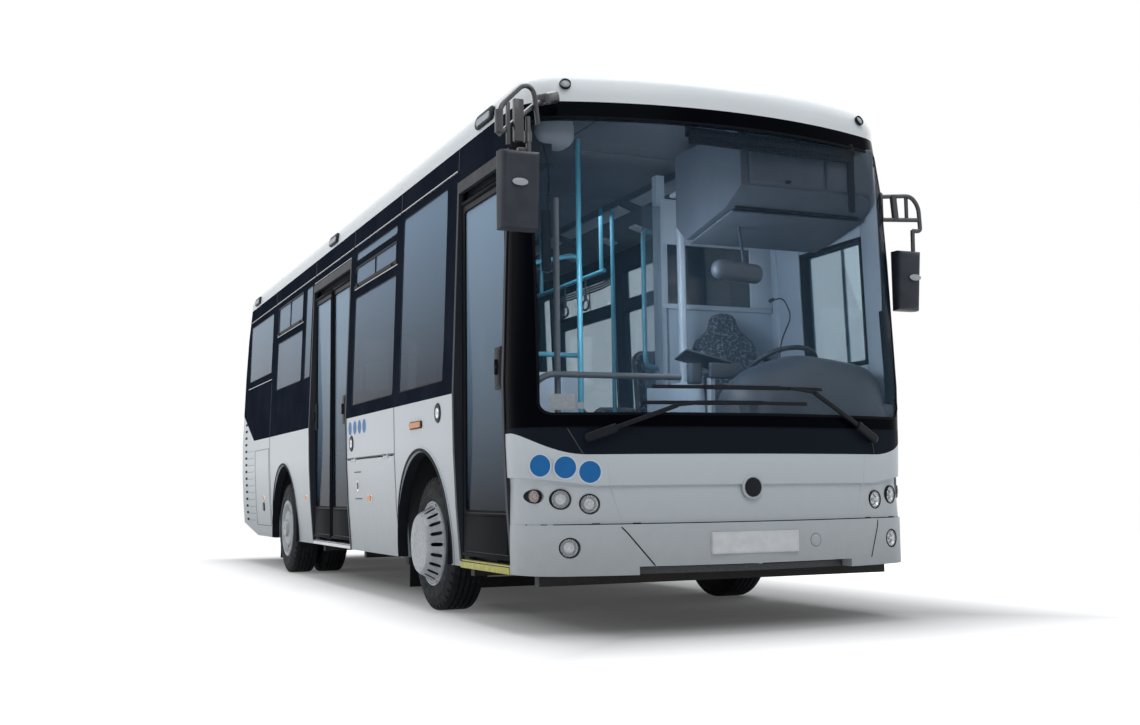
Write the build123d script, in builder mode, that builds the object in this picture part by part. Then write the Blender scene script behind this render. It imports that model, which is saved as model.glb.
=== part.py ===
"""Low-entry single-deck city bus, built from its panels, frames, axles, doors and seats.

The bus stands on z = 0 with its front towards -Y and its doors on -X. Lengths are millimetres.
"""
from build123d import *
from collections import namedtuple
from math import cos, hypot, radians, sin, sqrt
import os

os.makedirs("parts", exist_ok=True)

# ---------------------------------------------------------------- driving dimensions
HALF_WIDTH = 1200        # body side at the waist
NOSE_Y = -4530           # middle of the front face
TAIL_Y = 4660            # middle of the rear face
SKIRT_Z = 308            # lower edge of the skirt panels
WAIST_Z = 1307           # joint of the skirt panels and the window band
CANTRAIL_Z = 2770        # joint of the window band and the roof
ROOF_Z = 2960            # roof top
ROOF_EDGE = 150          # radius of the roof's rounded edge
WALL = 55                # wall with its frame and lining
TUCK = 48                # how far the side comes in at the skirt and at the cantrail
FRONT_CORNER = 266       # plan radius of the front corners
REAR_CORNER = 270        # plan radius of the rear corners
NOSE_BOW = 229           # how far the front face bows forward
TAIL_BOW = 50            # how far the rear face bows back

FRONT_AXLE_Y = -2520
WHEELBASE = 4490
TYRE_RADIUS = 416
TYRE_WIDTH = 245
RIM_RADIUS = 248         # bead seat of a 19.5 inch rim
FRONT_FACE_X = 1120      # outer face of a front tyre
REAR_FACE_X = 1158       # outer face of an outer rear tyre
TWIN_GAP = 28            # air between the two rear tyres of a pair
FRONT_ARCH_RADIUS = 543
FRONT_ARCH_Z = 446
REAR_ARCH_RADIUS = 598
REAR_ARCH_Z = 408

FLOOR_Z = 340            # low floor, one step above the kerb
STEP_RISE = 200          # each of the two steps to the rear floor
GLASS = 6
FRAME = 30               # width of the door portals
SEAM = 5                 # clearance round a moving leaf, lid or flap
FIT = 0.3                # clearance of a bearing

FRONT_DOOR = (-4060, -3200)   # portal of the front door along Y
MIDDLE_DOOR = (-580, 800)     # portal of the middle doors along Y
DOOR_TOP = 2560
LEAF_BOTTOM = 371
LEAF_TOP = 2430
LEAF_THICKNESS = 35
LEAF_OUTER_X = -1150
LEAF_TRIM = 40           # how far a leaf's near edge stays off its post
POST_X = -1065           # line of the turning door posts
POST_RADIUS = 16

WINDSCREEN = (1120, 2680)     # clear glass, bottom and top
MASK_Z = 914             # joint of the white mask and the black scuttle
MASK_TIP_Z = 1034        # the same joint at the corner posts
BUMPER_Z = 561           # joint of the bumper and the mask
HATCH = (-620, 620, 600, 1130)   # engine hatch: left, right, bottom, top
FLAP = (-1910, -590, SKIRT_Z - 10, 995)   # service flap: front, rear, bottom, top

REAR_AXLE_Y = FRONT_AXLE_Y + WHEELBASE
REAR_FLOOR_Z = FLOOR_Z + 2 * STEP_RISE
REAR_FLOOR_Y = MIDDLE_DOOR[1] + 250
FAR = 6000               # longer than the bus, for cutting blocks

# ---------------------------------------------------------------- body surfaces
Level = namedtuple("Level", "height nose_setback tail_setback")
LEVELS = (
    Level(SKIRT_Z, 0, 0),
    Level(641, 0, 0),
    Level(974, 0, 10),
    Level(WAIST_Z, 0, 30),
    Level(2050, 20, 75),
    Level(2450, 40, 145),
    Level(CANTRAIL_Z, 90, 290),
)


def side_tuck(height):
    """How far the body side lies inside its widest line at a height."""
    if height > WAIST_Z:
        return TUCK * (height - WAIST_Z) / (CANTRAIL_Z - WAIST_Z)
    return TUCK * ((WAIST_Z - height) / (WAIST_Z - SKIRT_Z)) ** 2


def plan_outline(level, inset):
    """Plan of the body at one level, moved in by inset."""
    half = HALF_WIDTH - side_tuck(level.height) - inset
    nose = NOSE_Y + level.nose_setback + inset
    tail = TAIL_Y - level.tail_setback - inset
    with BuildSketch(Plane.XY.offset(level.height)) as outline:
        with BuildLine():
            front = ThreePointArc((-half, nose + NOSE_BOW), (0, nose), (half, nose + NOSE_BOW))
            Line(front @ 1, (half, tail - TAIL_BOW))
            back = ThreePointArc((half, tail - TAIL_BOW), (0, tail), (-half, tail - TAIL_BOW))
            Line(back @ 1, front @ 0)
        make_face()
        fillet(outline.vertices().group_by(Axis.Y)[0], FRONT_CORNER - inset)
        fillet(outline.vertices().group_by(Axis.Y)[-1], REAR_CORNER - inset)
    return outline.sketch


def hull(inset):
    """The body below the roof as one solid, moved in by inset."""
    outlines = [plan_outline(level, inset).face() for level in LEVELS]
    with BuildPart() as solid:
        loft(outlines, ruled=True)
    return solid.part


def dome(inset):
    """The roof as one solid with a rounded edge, moved in by inset."""
    outline = plan_outline(LEVELS[-1], inset)
    with BuildPart() as solid:
        extrude(outline, amount=ROOF_Z - inset - CANTRAIL_Z)
        fillet(solid.faces().sort_by(Axis.Z)[-1].edges(), ROOF_EDGE - inset)
    return solid.part


def block(x_span, y_span, z_span):
    """A plain block between two values on each axis."""
    size = [high - low for low, high in (x_span, y_span, z_span)]
    middle = [(low + high) / 2 for low, high in (x_span, y_span, z_span)]
    return Pos(*middle) * Box(*size, mode=Mode.PRIVATE)


BODY = hull(0)
CABIN = hull(WALL)
SHELL = BODY - CABIN
GLAZING = hull(2) - hull(2 + GLASS)
FRONT_EDGE_Y = FRONT_DOOR[0]             # the front pieces end at the door portal
REAR_EDGE_Y = TAIL_Y - 570               # the rear pieces start here
SLANT_START_Y = TAIL_Y - 1050            # where the waist line rises at the rear
SLANT_END_Y = TAIL_Y - 50
SLANT_Z = 1730


def below_waist():
    """The room under the waist line, which rises behind the rear wheel."""
    with BuildPart() as room:
        with BuildSketch(Plane.YZ):
            with BuildLine():
                Polyline((-FAR, 0), (FAR, 0), (FAR, SLANT_Z), (SLANT_END_Y, SLANT_Z),
                         (SLANT_START_Y, WAIST_Z), (-FAR, WAIST_Z), close=True)
            make_face()
        extrude(amount=FAR, both=True)
    return room.part


def arch_cut(axle_y, radius, centre_z, grow=0):
    """The round wheel opening right across the body."""
    with BuildPart() as opening:
        with BuildSketch(Plane.YZ):
            with Locations((axle_y, centre_z)):
                Circle(radius + grow)
            with Locations((axle_y, centre_z / 2)):
                Rectangle(2 * sqrt(radius ** 2 - (centre_z - SKIRT_Z) ** 2) + 2 * grow, centre_z)
        extrude(amount=FAR, both=True)
    return opening.part


def departure_cut():
    """The room under the tail, where the skirt rises behind the rear wheels."""
    with BuildPart() as room:
        with BuildSketch(Plane.YZ):
            with BuildLine():
                Polyline((3560, 0), (FAR, 0), (FAR, 700), (TAIL_Y, 470), (3560, SKIRT_Z), close=True)
            make_face()
        extrude(amount=FAR, both=True)
    return room.part


LOWER = below_waist()
FRONT_ARCH = arch_cut(FRONT_AXLE_Y, FRONT_ARCH_RADIUS, FRONT_ARCH_Z)
REAR_ARCH = arch_cut(REAR_AXLE_Y, REAR_ARCH_RADIUS, REAR_ARCH_Z)
DEPARTURE = departure_cut()
LIP = 34                 # width of the proud lip round a wheel arch
LIP_PROUD = 6
FRONT_LIP = arch_cut(FRONT_AXLE_Y, FRONT_ARCH_RADIUS, FRONT_ARCH_Z, LIP)
REAR_LIP = arch_cut(REAR_AXLE_Y, REAR_ARCH_RADIUS, REAR_ARCH_Z, LIP)
PROUD = hull(-LIP_PROUD)
SKIN = PROUD - BODY
DOORWAYS = [block((-FAR, 0), span, (0, DOOR_TOP)) for span in (FRONT_DOOR, MIDDLE_DOOR)]


def write(piece, label):
    """Give a finished piece its name and write it."""
    piece.part.label = label
    export_step(piece.part, f"parts/{label}.step")


# ---------------------------------------------------------------- hinges of the engine hatch and the flap
HINGE_RADIUS = 9
HINGE_PIN = 4
HINGE_LENGTH = 70
LUG = 18                 # length of a lug along its pin
TOP_SEAM = 12            # gap over a lid, where its edge turns up
ALONG_X = (0, 90, 0)
ALONG_Y = (90, 0, 0)
HATCH_PLACES = [(x, TAIL_Y - 30, HATCH[3] - TOP_SEAM) for x in (HATCH[0] + 220, HATCH[1] - 220)]
FLAP_PLACES = [(10 - HALF_WIDTH, y, FLAP[3] - TOP_SEAM) for y in (FLAP[0] + 200, FLAP[1] - 200)]


def rods(places, turn, radius, length):
    """Rods along a hinge line, one at each place."""
    return [Pos(*place) * Cylinder(radius, length, rotation=turn, mode=Mode.PRIVATE) for place in places]


def lug_places(places, direction):
    """The middles of the two lugs beside each hinge barrel."""
    shift = (HINGE_LENGTH + LUG) / 2 + 2
    step = Vector(*direction) * shift
    return [tuple(Vector(*place) + step * hand) for place in places for hand in (-1, 1)]


def fixed_hinge(places, turn, direction):
    """Pins and lugs that hang from the body over a lid."""
    ends = lug_places(places, direction)
    hangers = [block((x - HINGE_RADIUS, x + HINGE_RADIUS), (y - HINGE_RADIUS, y + HINGE_RADIUS),
                     (z, z + TOP_SEAM + LUG / 2)) for x, y, z in ends]
    pins = rods(places, turn, HINGE_PIN, HINGE_LENGTH + 2 * LUG)
    return pins + rods(ends, turn, HINGE_RADIUS, LUG) + hangers


HATCH_HINGES = fixed_hinge(HATCH_PLACES, ALONG_X, (1, 0, 0))
HATCH_NOTCHES = rods(lug_places(HATCH_PLACES, (1, 0, 0)), ALONG_X, HINGE_RADIUS + SEAM, LUG + 2 * SEAM)
HATCH_BARRELS = rods(HATCH_PLACES, ALONG_X, HINGE_RADIUS, HINGE_LENGTH)
HATCH_BORES = rods(HATCH_PLACES, ALONG_X, HINGE_PIN + FIT, HINGE_LENGTH + 2 * LUG)
FLAP_HINGES = fixed_hinge(FLAP_PLACES, ALONG_Y, (0, 1, 0))
FLAP_NOTCHES = rods(lug_places(FLAP_PLACES, (0, 1, 0)), ALONG_Y, HINGE_RADIUS + SEAM, LUG + 2 * SEAM)
FLAP_BARRELS = rods(FLAP_PLACES, ALONG_Y, HINGE_RADIUS, HINGE_LENGTH)
FLAP_BORES = rods(FLAP_PLACES, ALONG_Y, HINGE_PIN + FIT, HINGE_LENGTH + 2 * LUG)

# ---------------------------------------------------------------- side walls
Pane = namedtuple("Pane", "front rear bottom top")
HEADER_Z = 2570          # upper edge of the clear glass
LOWER_TOP_Z = 2220       # upper edge of the clear glass under a sliding window
SLIDER_Z = (2322, 2456)  # clear glass of a sliding window
TRANSOM_Z = 2514         # lower edge of the narrow fixed pane over it
RIGHT_PANES = (
    Pane(-3000, -2050, 1400, HEADER_Z),
    Pane(-1880, -740, 1400, LOWER_TOP_Z),
    Pane(-1880, -740, *SLIDER_Z),
    Pane(-1880, -740, TRANSOM_Z, HEADER_Z),
    Pane(860, 1110, 1760, HEADER_Z),
    Pane(1250, 2430, 1760, LOWER_TOP_Z),
    Pane(1250, 2430, SLIDER_Z[0], HEADER_Z),
    Pane(2735, 4040, 1965, HEADER_Z),
)
LEFT_PANES = (
    Pane(-4030, -3400, 1480, 2220),
    Pane(-3230, -2050, 1400, HEADER_Z),
    Pane(-1880, -740, 1400, LOWER_TOP_Z),
    Pane(-1880, -740, SLIDER_Z[0], HEADER_Z),
    Pane(-540, 640, 1400, LOWER_TOP_Z),
    Pane(-540, 640, SLIDER_Z[0], HEADER_Z),
    Pane(860, 1110, 1760, HEADER_Z),
    Pane(1250, 2430, 1760, LOWER_TOP_Z),
    Pane(1250, 2430, SLIDER_Z[0], HEADER_Z),
    Pane(2735, 4040, 1965, HEADER_Z),
)
PANE_CORNER = 24


def pane_blocks(panes, side):
    """Square blocks over the window openings of one side."""
    reach = sorted((side * (HALF_WIDTH - 2 * TUCK - WALL), side * (HALF_WIDTH + TUCK)))
    return [block(reach, (pane.front, pane.rear), (pane.bottom, pane.top)) for pane in panes]


def round_corners(piece):
    """Round the corners of a pane or its opening, as seen from the side."""
    return fillet(piece.edges().filter_by(Axis.X), PANE_CORNER)


DRIP_Z = (2630, 2640)    # drip rail over the windows, broken at each joint of the panels
DRIP_YS = (-3206, -1976, -657, 740, 2595, 4050)

for side_name, side, panes in (("right", -1, RIGHT_PANES), ("left", 1, LEFT_PANES)):
    outward = (-FAR, 0) if side < 0 else (0, FAR)
    square_openings = pane_blocks(panes, side)
    openings = [round_corners(opening) for opening in square_openings]

    with BuildPart() as lips:
        add(FRONT_LIP)
        add(REAR_LIP)
        add(SKIN, mode=Mode.INTERSECT)
        add(block(outward, (-FAR, FAR), (0, FAR)), mode=Mode.INTERSECT)

    with BuildPart() as skirt:
        add(SHELL)
        add(block(outward, (FRONT_EDGE_Y, REAR_EDGE_Y), (0, FAR)), mode=Mode.INTERSECT)
        add(LOWER, mode=Mode.INTERSECT)
        add(lips.part)
        add(FRONT_ARCH, mode=Mode.SUBTRACT)
        add(REAR_ARCH, mode=Mode.SUBTRACT)
        add(DEPARTURE, mode=Mode.SUBTRACT)
        if side < 0:
            add(DOORWAYS, mode=Mode.SUBTRACT)
            add(block((-FAR, 0), FLAP[:2], FLAP[2:]), mode=Mode.SUBTRACT)
            add(FLAP_HINGES)
    write(skirt, f"skirt_{side_name}")

    with BuildPart() as drips:
        add(SKIN)
        add([block(outward, (y + 6, after_y - 6), DRIP_Z) for y, after_y in zip(DRIP_YS, DRIP_YS[1:])],
            mode=Mode.INTERSECT)

    with BuildPart() as window_band:
        add(SHELL)
        add(drips.part)
        add(block(outward, (FRONT_EDGE_Y, REAR_EDGE_Y), (0, FAR)), mode=Mode.INTERSECT)
        add(LOWER, mode=Mode.SUBTRACT)
        if side < 0:
            add(DOORWAYS, mode=Mode.SUBTRACT)
        add(openings, mode=Mode.SUBTRACT)
    write(window_band, f"window_band_{side_name}")

    glass_panes = [round_corners(GLAZING & opening) for opening in square_openings]
    with BuildPart() as side_windows:
        add(glass_panes)
    write(side_windows, f"windows_{side_name}")

# ---------------------------------------------------------------- roof
ROOF_HATCH = 760
ROOF_HATCH_YS = (-1900, 2300)
ROOF_OUTSIDE = dome(0)
ROOF_INSIDE = dome(WALL)
with BuildPart() as roof:
    add(ROOF_OUTSIDE)
    add(ROOF_INSIDE, mode=Mode.SUBTRACT)
    with BuildSketch(Plane.XY.offset(ROOF_Z)):
        with Locations(*[(0, hatch_y) for hatch_y in ROOF_HATCH_YS]):
            RectangleRounded(ROOF_HATCH, ROOF_HATCH * 0.8, 60)
    extrude(amount=45)
    chamfer(roof.faces().group_by(Axis.Z)[-1].edges(), 20)
write(roof, "roof_shell")

# ---------------------------------------------------------------- front
with BuildPart() as front_room:
    add(block((-FAR, FAR), (-FAR, FRONT_EDGE_Y), (0, FAR)))
FRONT_ROOM = front_room.part


Lamp = namedtuple("Lamp", "x z radius")
FRONT_LAMPS = (Lamp(1118, 706, 36), Lamp(1010, 690, 52), Lamp(871, 665, 52))
FOG_LAMPS = (Lamp(980, 448, 52),)
TAIL_LAMPS = (Lamp(1000, 760, 50), Lamp(1000, 890, 50), Lamp(1000, 1020, 50), Lamp(1000, 1150, 50))
FRONT_ROD_Y = NOSE_Y + 350
TAIL_ROD_Y = TAIL_Y - 100


def lamp_rods(lamps, middle_y, radius_change=0):
    """Rods along the bus where round lamps sit on both sides of one end."""
    pieces = []
    for lamp in lamps:
        for hand in (-1, 1):
            rod = Cylinder(lamp.radius + radius_change, 700, rotation=(90, 0, 0), mode=Mode.PRIVATE)
            pieces.append(Pos(hand * lamp.x, middle_y, lamp.z) * rod)
    return pieces


def mask_joint():
    """The room under the curved joint of the white mask and the black scuttle."""
    flat = 880
    with BuildPart() as room:
        with BuildSketch(Plane.XZ):
            with BuildLine():
                for hand in (-1, 1):
                    Line((0, MASK_Z), (hand * flat, MASK_Z))
                    rise = TangentArc((hand * flat, MASK_Z), (hand * HALF_WIDTH, MASK_TIP_Z),
                                      tangent=(hand, 0))
                    Line(rise @ 1, (hand * HALF_WIDTH * 2, MASK_TIP_Z))
                    Polyline((hand * HALF_WIDTH * 2, MASK_TIP_Z), (hand * HALF_WIDTH * 2, 0), (0, 0))
            make_face()
        extrude(amount=FAR, both=True)
    return room.part


MASK_ROOM = mask_joint()
BUMPER_PROUD = 22        # how far the bumper stands out from the mask
BUMPER_FOOT = 350        # lower edge of the bumper between its hanging ends

BUMPER_PLAN = plan_outline(LEVELS[0], -BUMPER_PROUD)

with BuildPart() as bumper:
    extrude(BUMPER_PLAN, amount=BUMPER_Z - SKIRT_Z)
    add(CABIN, mode=Mode.SUBTRACT)
    add(FRONT_ROOM, mode=Mode.INTERSECT)
    add(block((-640, 640), (-FAR, 0), (0, BUMPER_FOOT)), mode=Mode.SUBTRACT)
    add(lamp_rods(FOG_LAMPS, FRONT_ROD_Y), mode=Mode.SUBTRACT)
write(bumper, "front_bumper")

CREASE_Z = 757           # shelf line across the mask
CREASE_TIP_Z = 805       # the same line at the corner posts
CREASE_HALF = 850        # half length of its level middle
CREASE_DEPTH = 16        # how far the face under the shelf is set back


def under_crease():
    """The room under the shelf line that runs across the mask and rises at its ends."""
    with BuildPart() as room:
        with BuildSketch(Plane.XZ):
            with BuildLine():
                Polyline((-CREASE_HALF, CREASE_Z), (CREASE_HALF, CREASE_Z), (HALF_WIDTH, CREASE_TIP_Z),
                         (HALF_WIDTH, BUMPER_Z), (-HALF_WIDTH, BUMPER_Z), (-HALF_WIDTH, CREASE_TIP_Z),
                         close=True)
            make_face()
        extrude(amount=FAR)
    return room.part


SCOOP_LEVELS = (plan_outline(Level(BUMPER_Z, 0, 0), 0).face(),
                plan_outline(Level(CREASE_Z, 0, 0), CREASE_DEPTH).face(),
                plan_outline(Level(CREASE_TIP_Z, 0, 0), CREASE_DEPTH).face())
with BuildPart() as scoop_core:
    loft(SCOOP_LEVELS, ruled=True)
with BuildPart() as scoop:
    add(under_crease())
    add(FRONT_ROOM, mode=Mode.INTERSECT)
    add(scoop_core.part, mode=Mode.SUBTRACT)
with BuildPart() as mask:
    add(SHELL)
    add(FRONT_ROOM, mode=Mode.INTERSECT)
    add(MASK_ROOM, mode=Mode.INTERSECT)
    add(block((-FAR, FAR), (-FAR, FAR), (0, BUMPER_Z)), mode=Mode.SUBTRACT)
    add(scoop.part, mode=Mode.SUBTRACT)
    add(lamp_rods(FRONT_LAMPS, FRONT_ROD_Y), mode=Mode.SUBTRACT)
write(mask, "front_mask")

with BuildPart() as scuttle:
    add(SHELL)
    add(FRONT_ROOM, mode=Mode.INTERSECT)
    add(MASK_ROOM, mode=Mode.SUBTRACT)
    add(block((-FAR, FAR), (-FAR, FAR), (WINDSCREEN[0], FAR)), mode=Mode.SUBTRACT)

SCREEN_HALF = 1110       # half width of the windscreen opening
with BuildPart() as screen_room:
    add(block((-SCREEN_HALF, SCREEN_HALF), (-FAR, 0), WINDSCREEN))
    fillet(screen_room.edges().filter_by(Axis.Y), 60)
SCREEN_ROOM = screen_room.part

with BuildPart() as screen_frame:
    add(SHELL)
    add(FRONT_ROOM, mode=Mode.INTERSECT)
    add(block((-FAR, FAR), (-FAR, FAR), (0, WINDSCREEN[0])), mode=Mode.SUBTRACT)
    add(SCREEN_ROOM, mode=Mode.SUBTRACT)
    add(scuttle.part)
write(screen_frame, "windscreen_surround")

with BuildPart() as windscreen:
    add(GLAZING)
    add(FRONT_ROOM, mode=Mode.INTERSECT)
    add(SCREEN_ROOM, mode=Mode.INTERSECT)
write(windscreen, "windscreen")

# ---------------------------------------------------------------- rear
with BuildPart() as rear_room:
    add(block((-FAR, FAR), (REAR_EDGE_Y, FAR), (0, FAR)))
REAR_ROOM = rear_room.part

with BuildPart() as rear_panel:
    add(SHELL)
    add(REAR_ROOM, mode=Mode.INTERSECT)
    add(LOWER, mode=Mode.INTERSECT)
    add(DEPARTURE, mode=Mode.SUBTRACT)
    add(block(HATCH[:2], (0, FAR), HATCH[2:]), mode=Mode.SUBTRACT)
    add(HATCH_HINGES)
write(rear_panel, "rear_panel")

REAR_SCREEN = block((-880, 880), (0, FAR), (1880, 2560))
with BuildPart() as rear_band:
    add(SHELL)
    add(REAR_ROOM, mode=Mode.INTERSECT)
    add(LOWER, mode=Mode.SUBTRACT)
    add(REAR_SCREEN, mode=Mode.SUBTRACT)
write(rear_band, "rear_band")

with BuildPart() as rear_window:
    add(GLAZING)
    add(REAR_ROOM, mode=Mode.INTERSECT)
    add(REAR_SCREEN, mode=Mode.INTERSECT)
write(rear_window, "rear_window")

with BuildPart() as hatch:
    add(SHELL)
    add(block((HATCH[0] + SEAM, HATCH[1] - SEAM), (0, FAR), (HATCH[2] + 2 * SEAM, HATCH[3] - TOP_SEAM)),
        mode=Mode.INTERSECT)
    add(HATCH_NOTCHES, mode=Mode.SUBTRACT)
    add(HATCH_BARRELS)
    add(HATCH_BORES, mode=Mode.SUBTRACT)
write(hatch, "engine_hatch")

with BuildPart() as flap:
    add(SHELL)
    add(block((-FAR, 0), (FLAP[0] + SEAM, FLAP[1] - SEAM), (FLAP[2], FLAP[3] - TOP_SEAM)),
        mode=Mode.INTERSECT)
    add(FLAP_NOTCHES, mode=Mode.SUBTRACT)
    add(FLAP_BARRELS)
    add(FLAP_BORES, mode=Mode.SUBTRACT)
write(flap, "service_flap")

# ---------------------------------------------------------------- floor, steps and wheel boxes
SHEET = 25
CROSS_HALF = HALF_WIDTH - 130      # half length of a low cross beam
BOX_INNER_X = 600        # room for the steered tyre and for the twin tyres
STEP_DEPTH = 300
STEP_Y = REAR_FLOOR_Y + STEP_DEPTH
WheelBox = namedtuple("WheelBox", "axle_y half_length top")
WHEEL_BOXES = (
    WheelBox(FRONT_AXLE_Y, FRONT_ARCH_RADIUS + 17, FRONT_ARCH_Z + FRONT_ARCH_RADIUS + 11),
    WheelBox(REAR_AXLE_Y, REAR_ARCH_RADIUS + 17, REAR_ARCH_Z + REAR_ARCH_RADIUS + 11),
)
WHEEL_ROOMS = [
    block((hand * BOX_INNER_X, hand * FAR) if hand > 0 else (-FAR, -BOX_INNER_X),
          (box.axle_y - box.half_length, box.axle_y + box.half_length), (0, box.top))
    for box in WHEEL_BOXES for hand in (-1, 1)
]
WHEEL_HOUSES = [
    block((hand * (BOX_INNER_X - SHEET), hand * FAR) if hand > 0 else (-FAR, SHEET - BOX_INNER_X),
          (box.axle_y - box.half_length - SHEET, box.axle_y + box.half_length + SHEET),
          (SKIRT_Z, box.top + SHEET))
    for box in WHEEL_BOXES for hand in (-1, 1)
]

with BuildPart() as wheel_boxes:
    add(WHEEL_HOUSES)
    add(WHEEL_ROOMS, mode=Mode.SUBTRACT)
    add(CABIN, mode=Mode.INTERSECT)
    rear_box = WHEEL_BOXES[1]
    add(block((-BOX_INNER_X, BOX_INNER_X),
              (rear_box.axle_y - rear_box.half_length, rear_box.axle_y + rear_box.half_length),
              (0, REAR_FLOOR_Z - SHEET)), mode=Mode.SUBTRACT)
write(wheel_boxes, "wheel_boxes")

with BuildPart() as floor_front:
    add(block((-FAR, FAR), (-FAR, REAR_FLOOR_Y), (SKIRT_Z, FLOOR_Z)))
    add(CABIN, mode=Mode.INTERSECT)
    add(WHEEL_HOUSES, mode=Mode.SUBTRACT)
    add(block((-FAR, -CROSS_HALF), FLAP[:2], (0, FLOOR_Z)), mode=Mode.SUBTRACT)
write(floor_front, "floor_front")

ENGINE_BAY_Y = TAIL_Y - 1250
PODIUM_Z = 1180          # deck over the engine
SILL_X = -HALF_WIDTH + side_tuck(SKIRT_Z)     # outer edge of the step
# ---------------------------------------------------------------- chassis and running gear
BEAM = 60
RAIL_X = 420
RAIL_FRONT_Y = NOSE_Y + 330
KICK_Y = STEP_Y + SHEET                       # where the frame steps up over the rear axle
REAR_RAIL_Z = REAR_FLOOR_Z - SHEET - BEAM
LOW_CROSS_YS = (RAIL_FRONT_Y, -3200, -1850, -700, REAR_FLOOR_Y - 350)
HIGH_CROSS_YS = (KICK_Y + BEAM, 2780, ENGINE_BAY_Y + 700)

with BuildPart() as chassis:
    for middle in (-RAIL_X, RAIL_X):
        rail = (middle - BEAM / 2, middle + BEAM / 2)
        add(block(rail, (RAIL_FRONT_Y, KICK_Y + BEAM), (SKIRT_Z - BEAM, SKIRT_Z)))
        add(block(rail, (KICK_Y, KICK_Y + BEAM), (SKIRT_Z - BEAM, REAR_RAIL_Z + BEAM)))
        add(block(rail, (KICK_Y, ENGINE_BAY_Y + 700), (REAR_RAIL_Z, REAR_RAIL_Z + BEAM)))
    for cross_y in LOW_CROSS_YS:
        add(block((-CROSS_HALF, CROSS_HALF), (cross_y, cross_y + BEAM), (SKIRT_Z - BEAM, SKIRT_Z)))
    for cross_y in HIGH_CROSS_YS:
        add(block((-BOX_INNER_X + 2 * SHEET, BOX_INNER_X - 2 * SHEET), (cross_y - BEAM, cross_y),
                  (REAR_RAIL_Z, REAR_RAIL_Z + BEAM)))
write(chassis, "chassis_frame")

with BuildPart() as floor_rear:
    for y_span, z_span in (
        ((REAR_FLOOR_Y, STEP_Y), (FLOOR_Z + STEP_RISE - SHEET, FLOOR_Z + STEP_RISE)),
        ((REAR_FLOOR_Y, REAR_FLOOR_Y + SHEET), (SKIRT_Z, FLOOR_Z + STEP_RISE)),
        ((STEP_Y, ENGINE_BAY_Y), (REAR_FLOOR_Z - SHEET, REAR_FLOOR_Z)),
        ((STEP_Y, STEP_Y + SHEET), (FLOOR_Z + STEP_RISE - SHEET, REAR_FLOOR_Z)),
        ((ENGINE_BAY_Y, ENGINE_BAY_Y + SHEET), (REAR_FLOOR_Z - SHEET, PODIUM_Z)),
        ((ENGINE_BAY_Y, FAR), (PODIUM_Z - SHEET, PODIUM_Z)),
    ):
        add(block((-FAR, FAR), y_span, z_span))
    add(CABIN, mode=Mode.INTERSECT)
    add(WHEEL_HOUSES, mode=Mode.SUBTRACT)
    add(chassis.part, mode=Mode.SUBTRACT)
write(floor_rear, "floor_rear")

KINGPIN_X = FRONT_FACE_X - TYRE_WIDTH / 2 - 86
KINGPIN_RADIUS = 22
EYE_RADIUS = 45
EYE_Z = (TYRE_RADIUS - 70, TYRE_RADIUS + 70)
YOKE_Z = (EYE_Z[0] - SEAM - 35, EYE_Z[1] + SEAM + 35)
BEAM_Z = (130, 190)

with BuildPart() as front_axle:
    add(block((110 - KINGPIN_X, KINGPIN_X - 110), (FRONT_AXLE_Y - 45, FRONT_AXLE_Y + 45), BEAM_Z))
    for hand in (-1, 1):
        riser = sorted((hand * (KINGPIN_X - 150), hand * (KINGPIN_X - 98)))
        add(block(riser, (FRONT_AXLE_Y - 38, FRONT_AXLE_Y + 38), (BEAM_Z[0], EYE_Z[1])))
        arm = sorted((hand * (KINGPIN_X - 120), hand * (KINGPIN_X - 20)))
        add(block(arm, (FRONT_AXLE_Y - 30, FRONT_AXLE_Y + 30), EYE_Z))
        with Locations((hand * KINGPIN_X, FRONT_AXLE_Y, sum(EYE_Z) / 2)):
            Cylinder(EYE_RADIUS, EYE_Z[1] - EYE_Z[0])
            Cylinder(KINGPIN_RADIUS + FIT, EYE_Z[1] - EYE_Z[0], mode=Mode.SUBTRACT)
    with Locations(*[(hand * RAIL_X, FRONT_AXLE_Y, (BEAM_Z[1] + SKIRT_Z - BEAM) / 2) for hand in (-1, 1)]):
        Cylinder(42, SKIRT_Z - BEAM - BEAM_Z[1])
write(front_axle, "front_axle")

STUB_RADIUS = 35
UPRIGHT_X = KINGPIN_X + EYE_RADIUS + 9
HUB_X = FRONT_FACE_X - TYRE_WIDTH / 2 - 30       # inner face of the front hub
for side_name, hand in (("right", -1), ("left", 1)):
    with BuildPart() as knuckle:
        for low, high in ((YOKE_Z[0], EYE_Z[0] - SEAM), (EYE_Z[1] + SEAM, YOKE_Z[1])):
            span = sorted((hand * (KINGPIN_X - 35), hand * (UPRIGHT_X + 20)))
            add(block(span, (FRONT_AXLE_Y - 38, FRONT_AXLE_Y + 38), (low, high)))
        upright = sorted((hand * UPRIGHT_X, hand * (UPRIGHT_X + 20)))
        add(block(upright, (FRONT_AXLE_Y - 50, FRONT_AXLE_Y + 50), YOKE_Z))
        with Locations((hand * KINGPIN_X, FRONT_AXLE_Y, sum(YOKE_Z) / 2)):
            Cylinder(KINGPIN_RADIUS, YOKE_Z[1] - YOKE_Z[0])
        stub_length = FRONT_FACE_X + 40 - UPRIGHT_X
        with Locations(Location((hand * (UPRIGHT_X + stub_length / 2), FRONT_AXLE_Y, TYRE_RADIUS),
                                (0, 90, 0))):
            Cylinder(STUB_RADIUS, stub_length)
        steering_arm = sorted((hand * (KINGPIN_X - 20), hand * (KINGPIN_X + 20)))
        add(block(steering_arm, (FRONT_AXLE_Y + 30, FRONT_AXLE_Y + 190), (YOKE_Z[0], YOKE_Z[0] + 25)))
    write(knuckle, f"knuckle_{side_name}")

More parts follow.
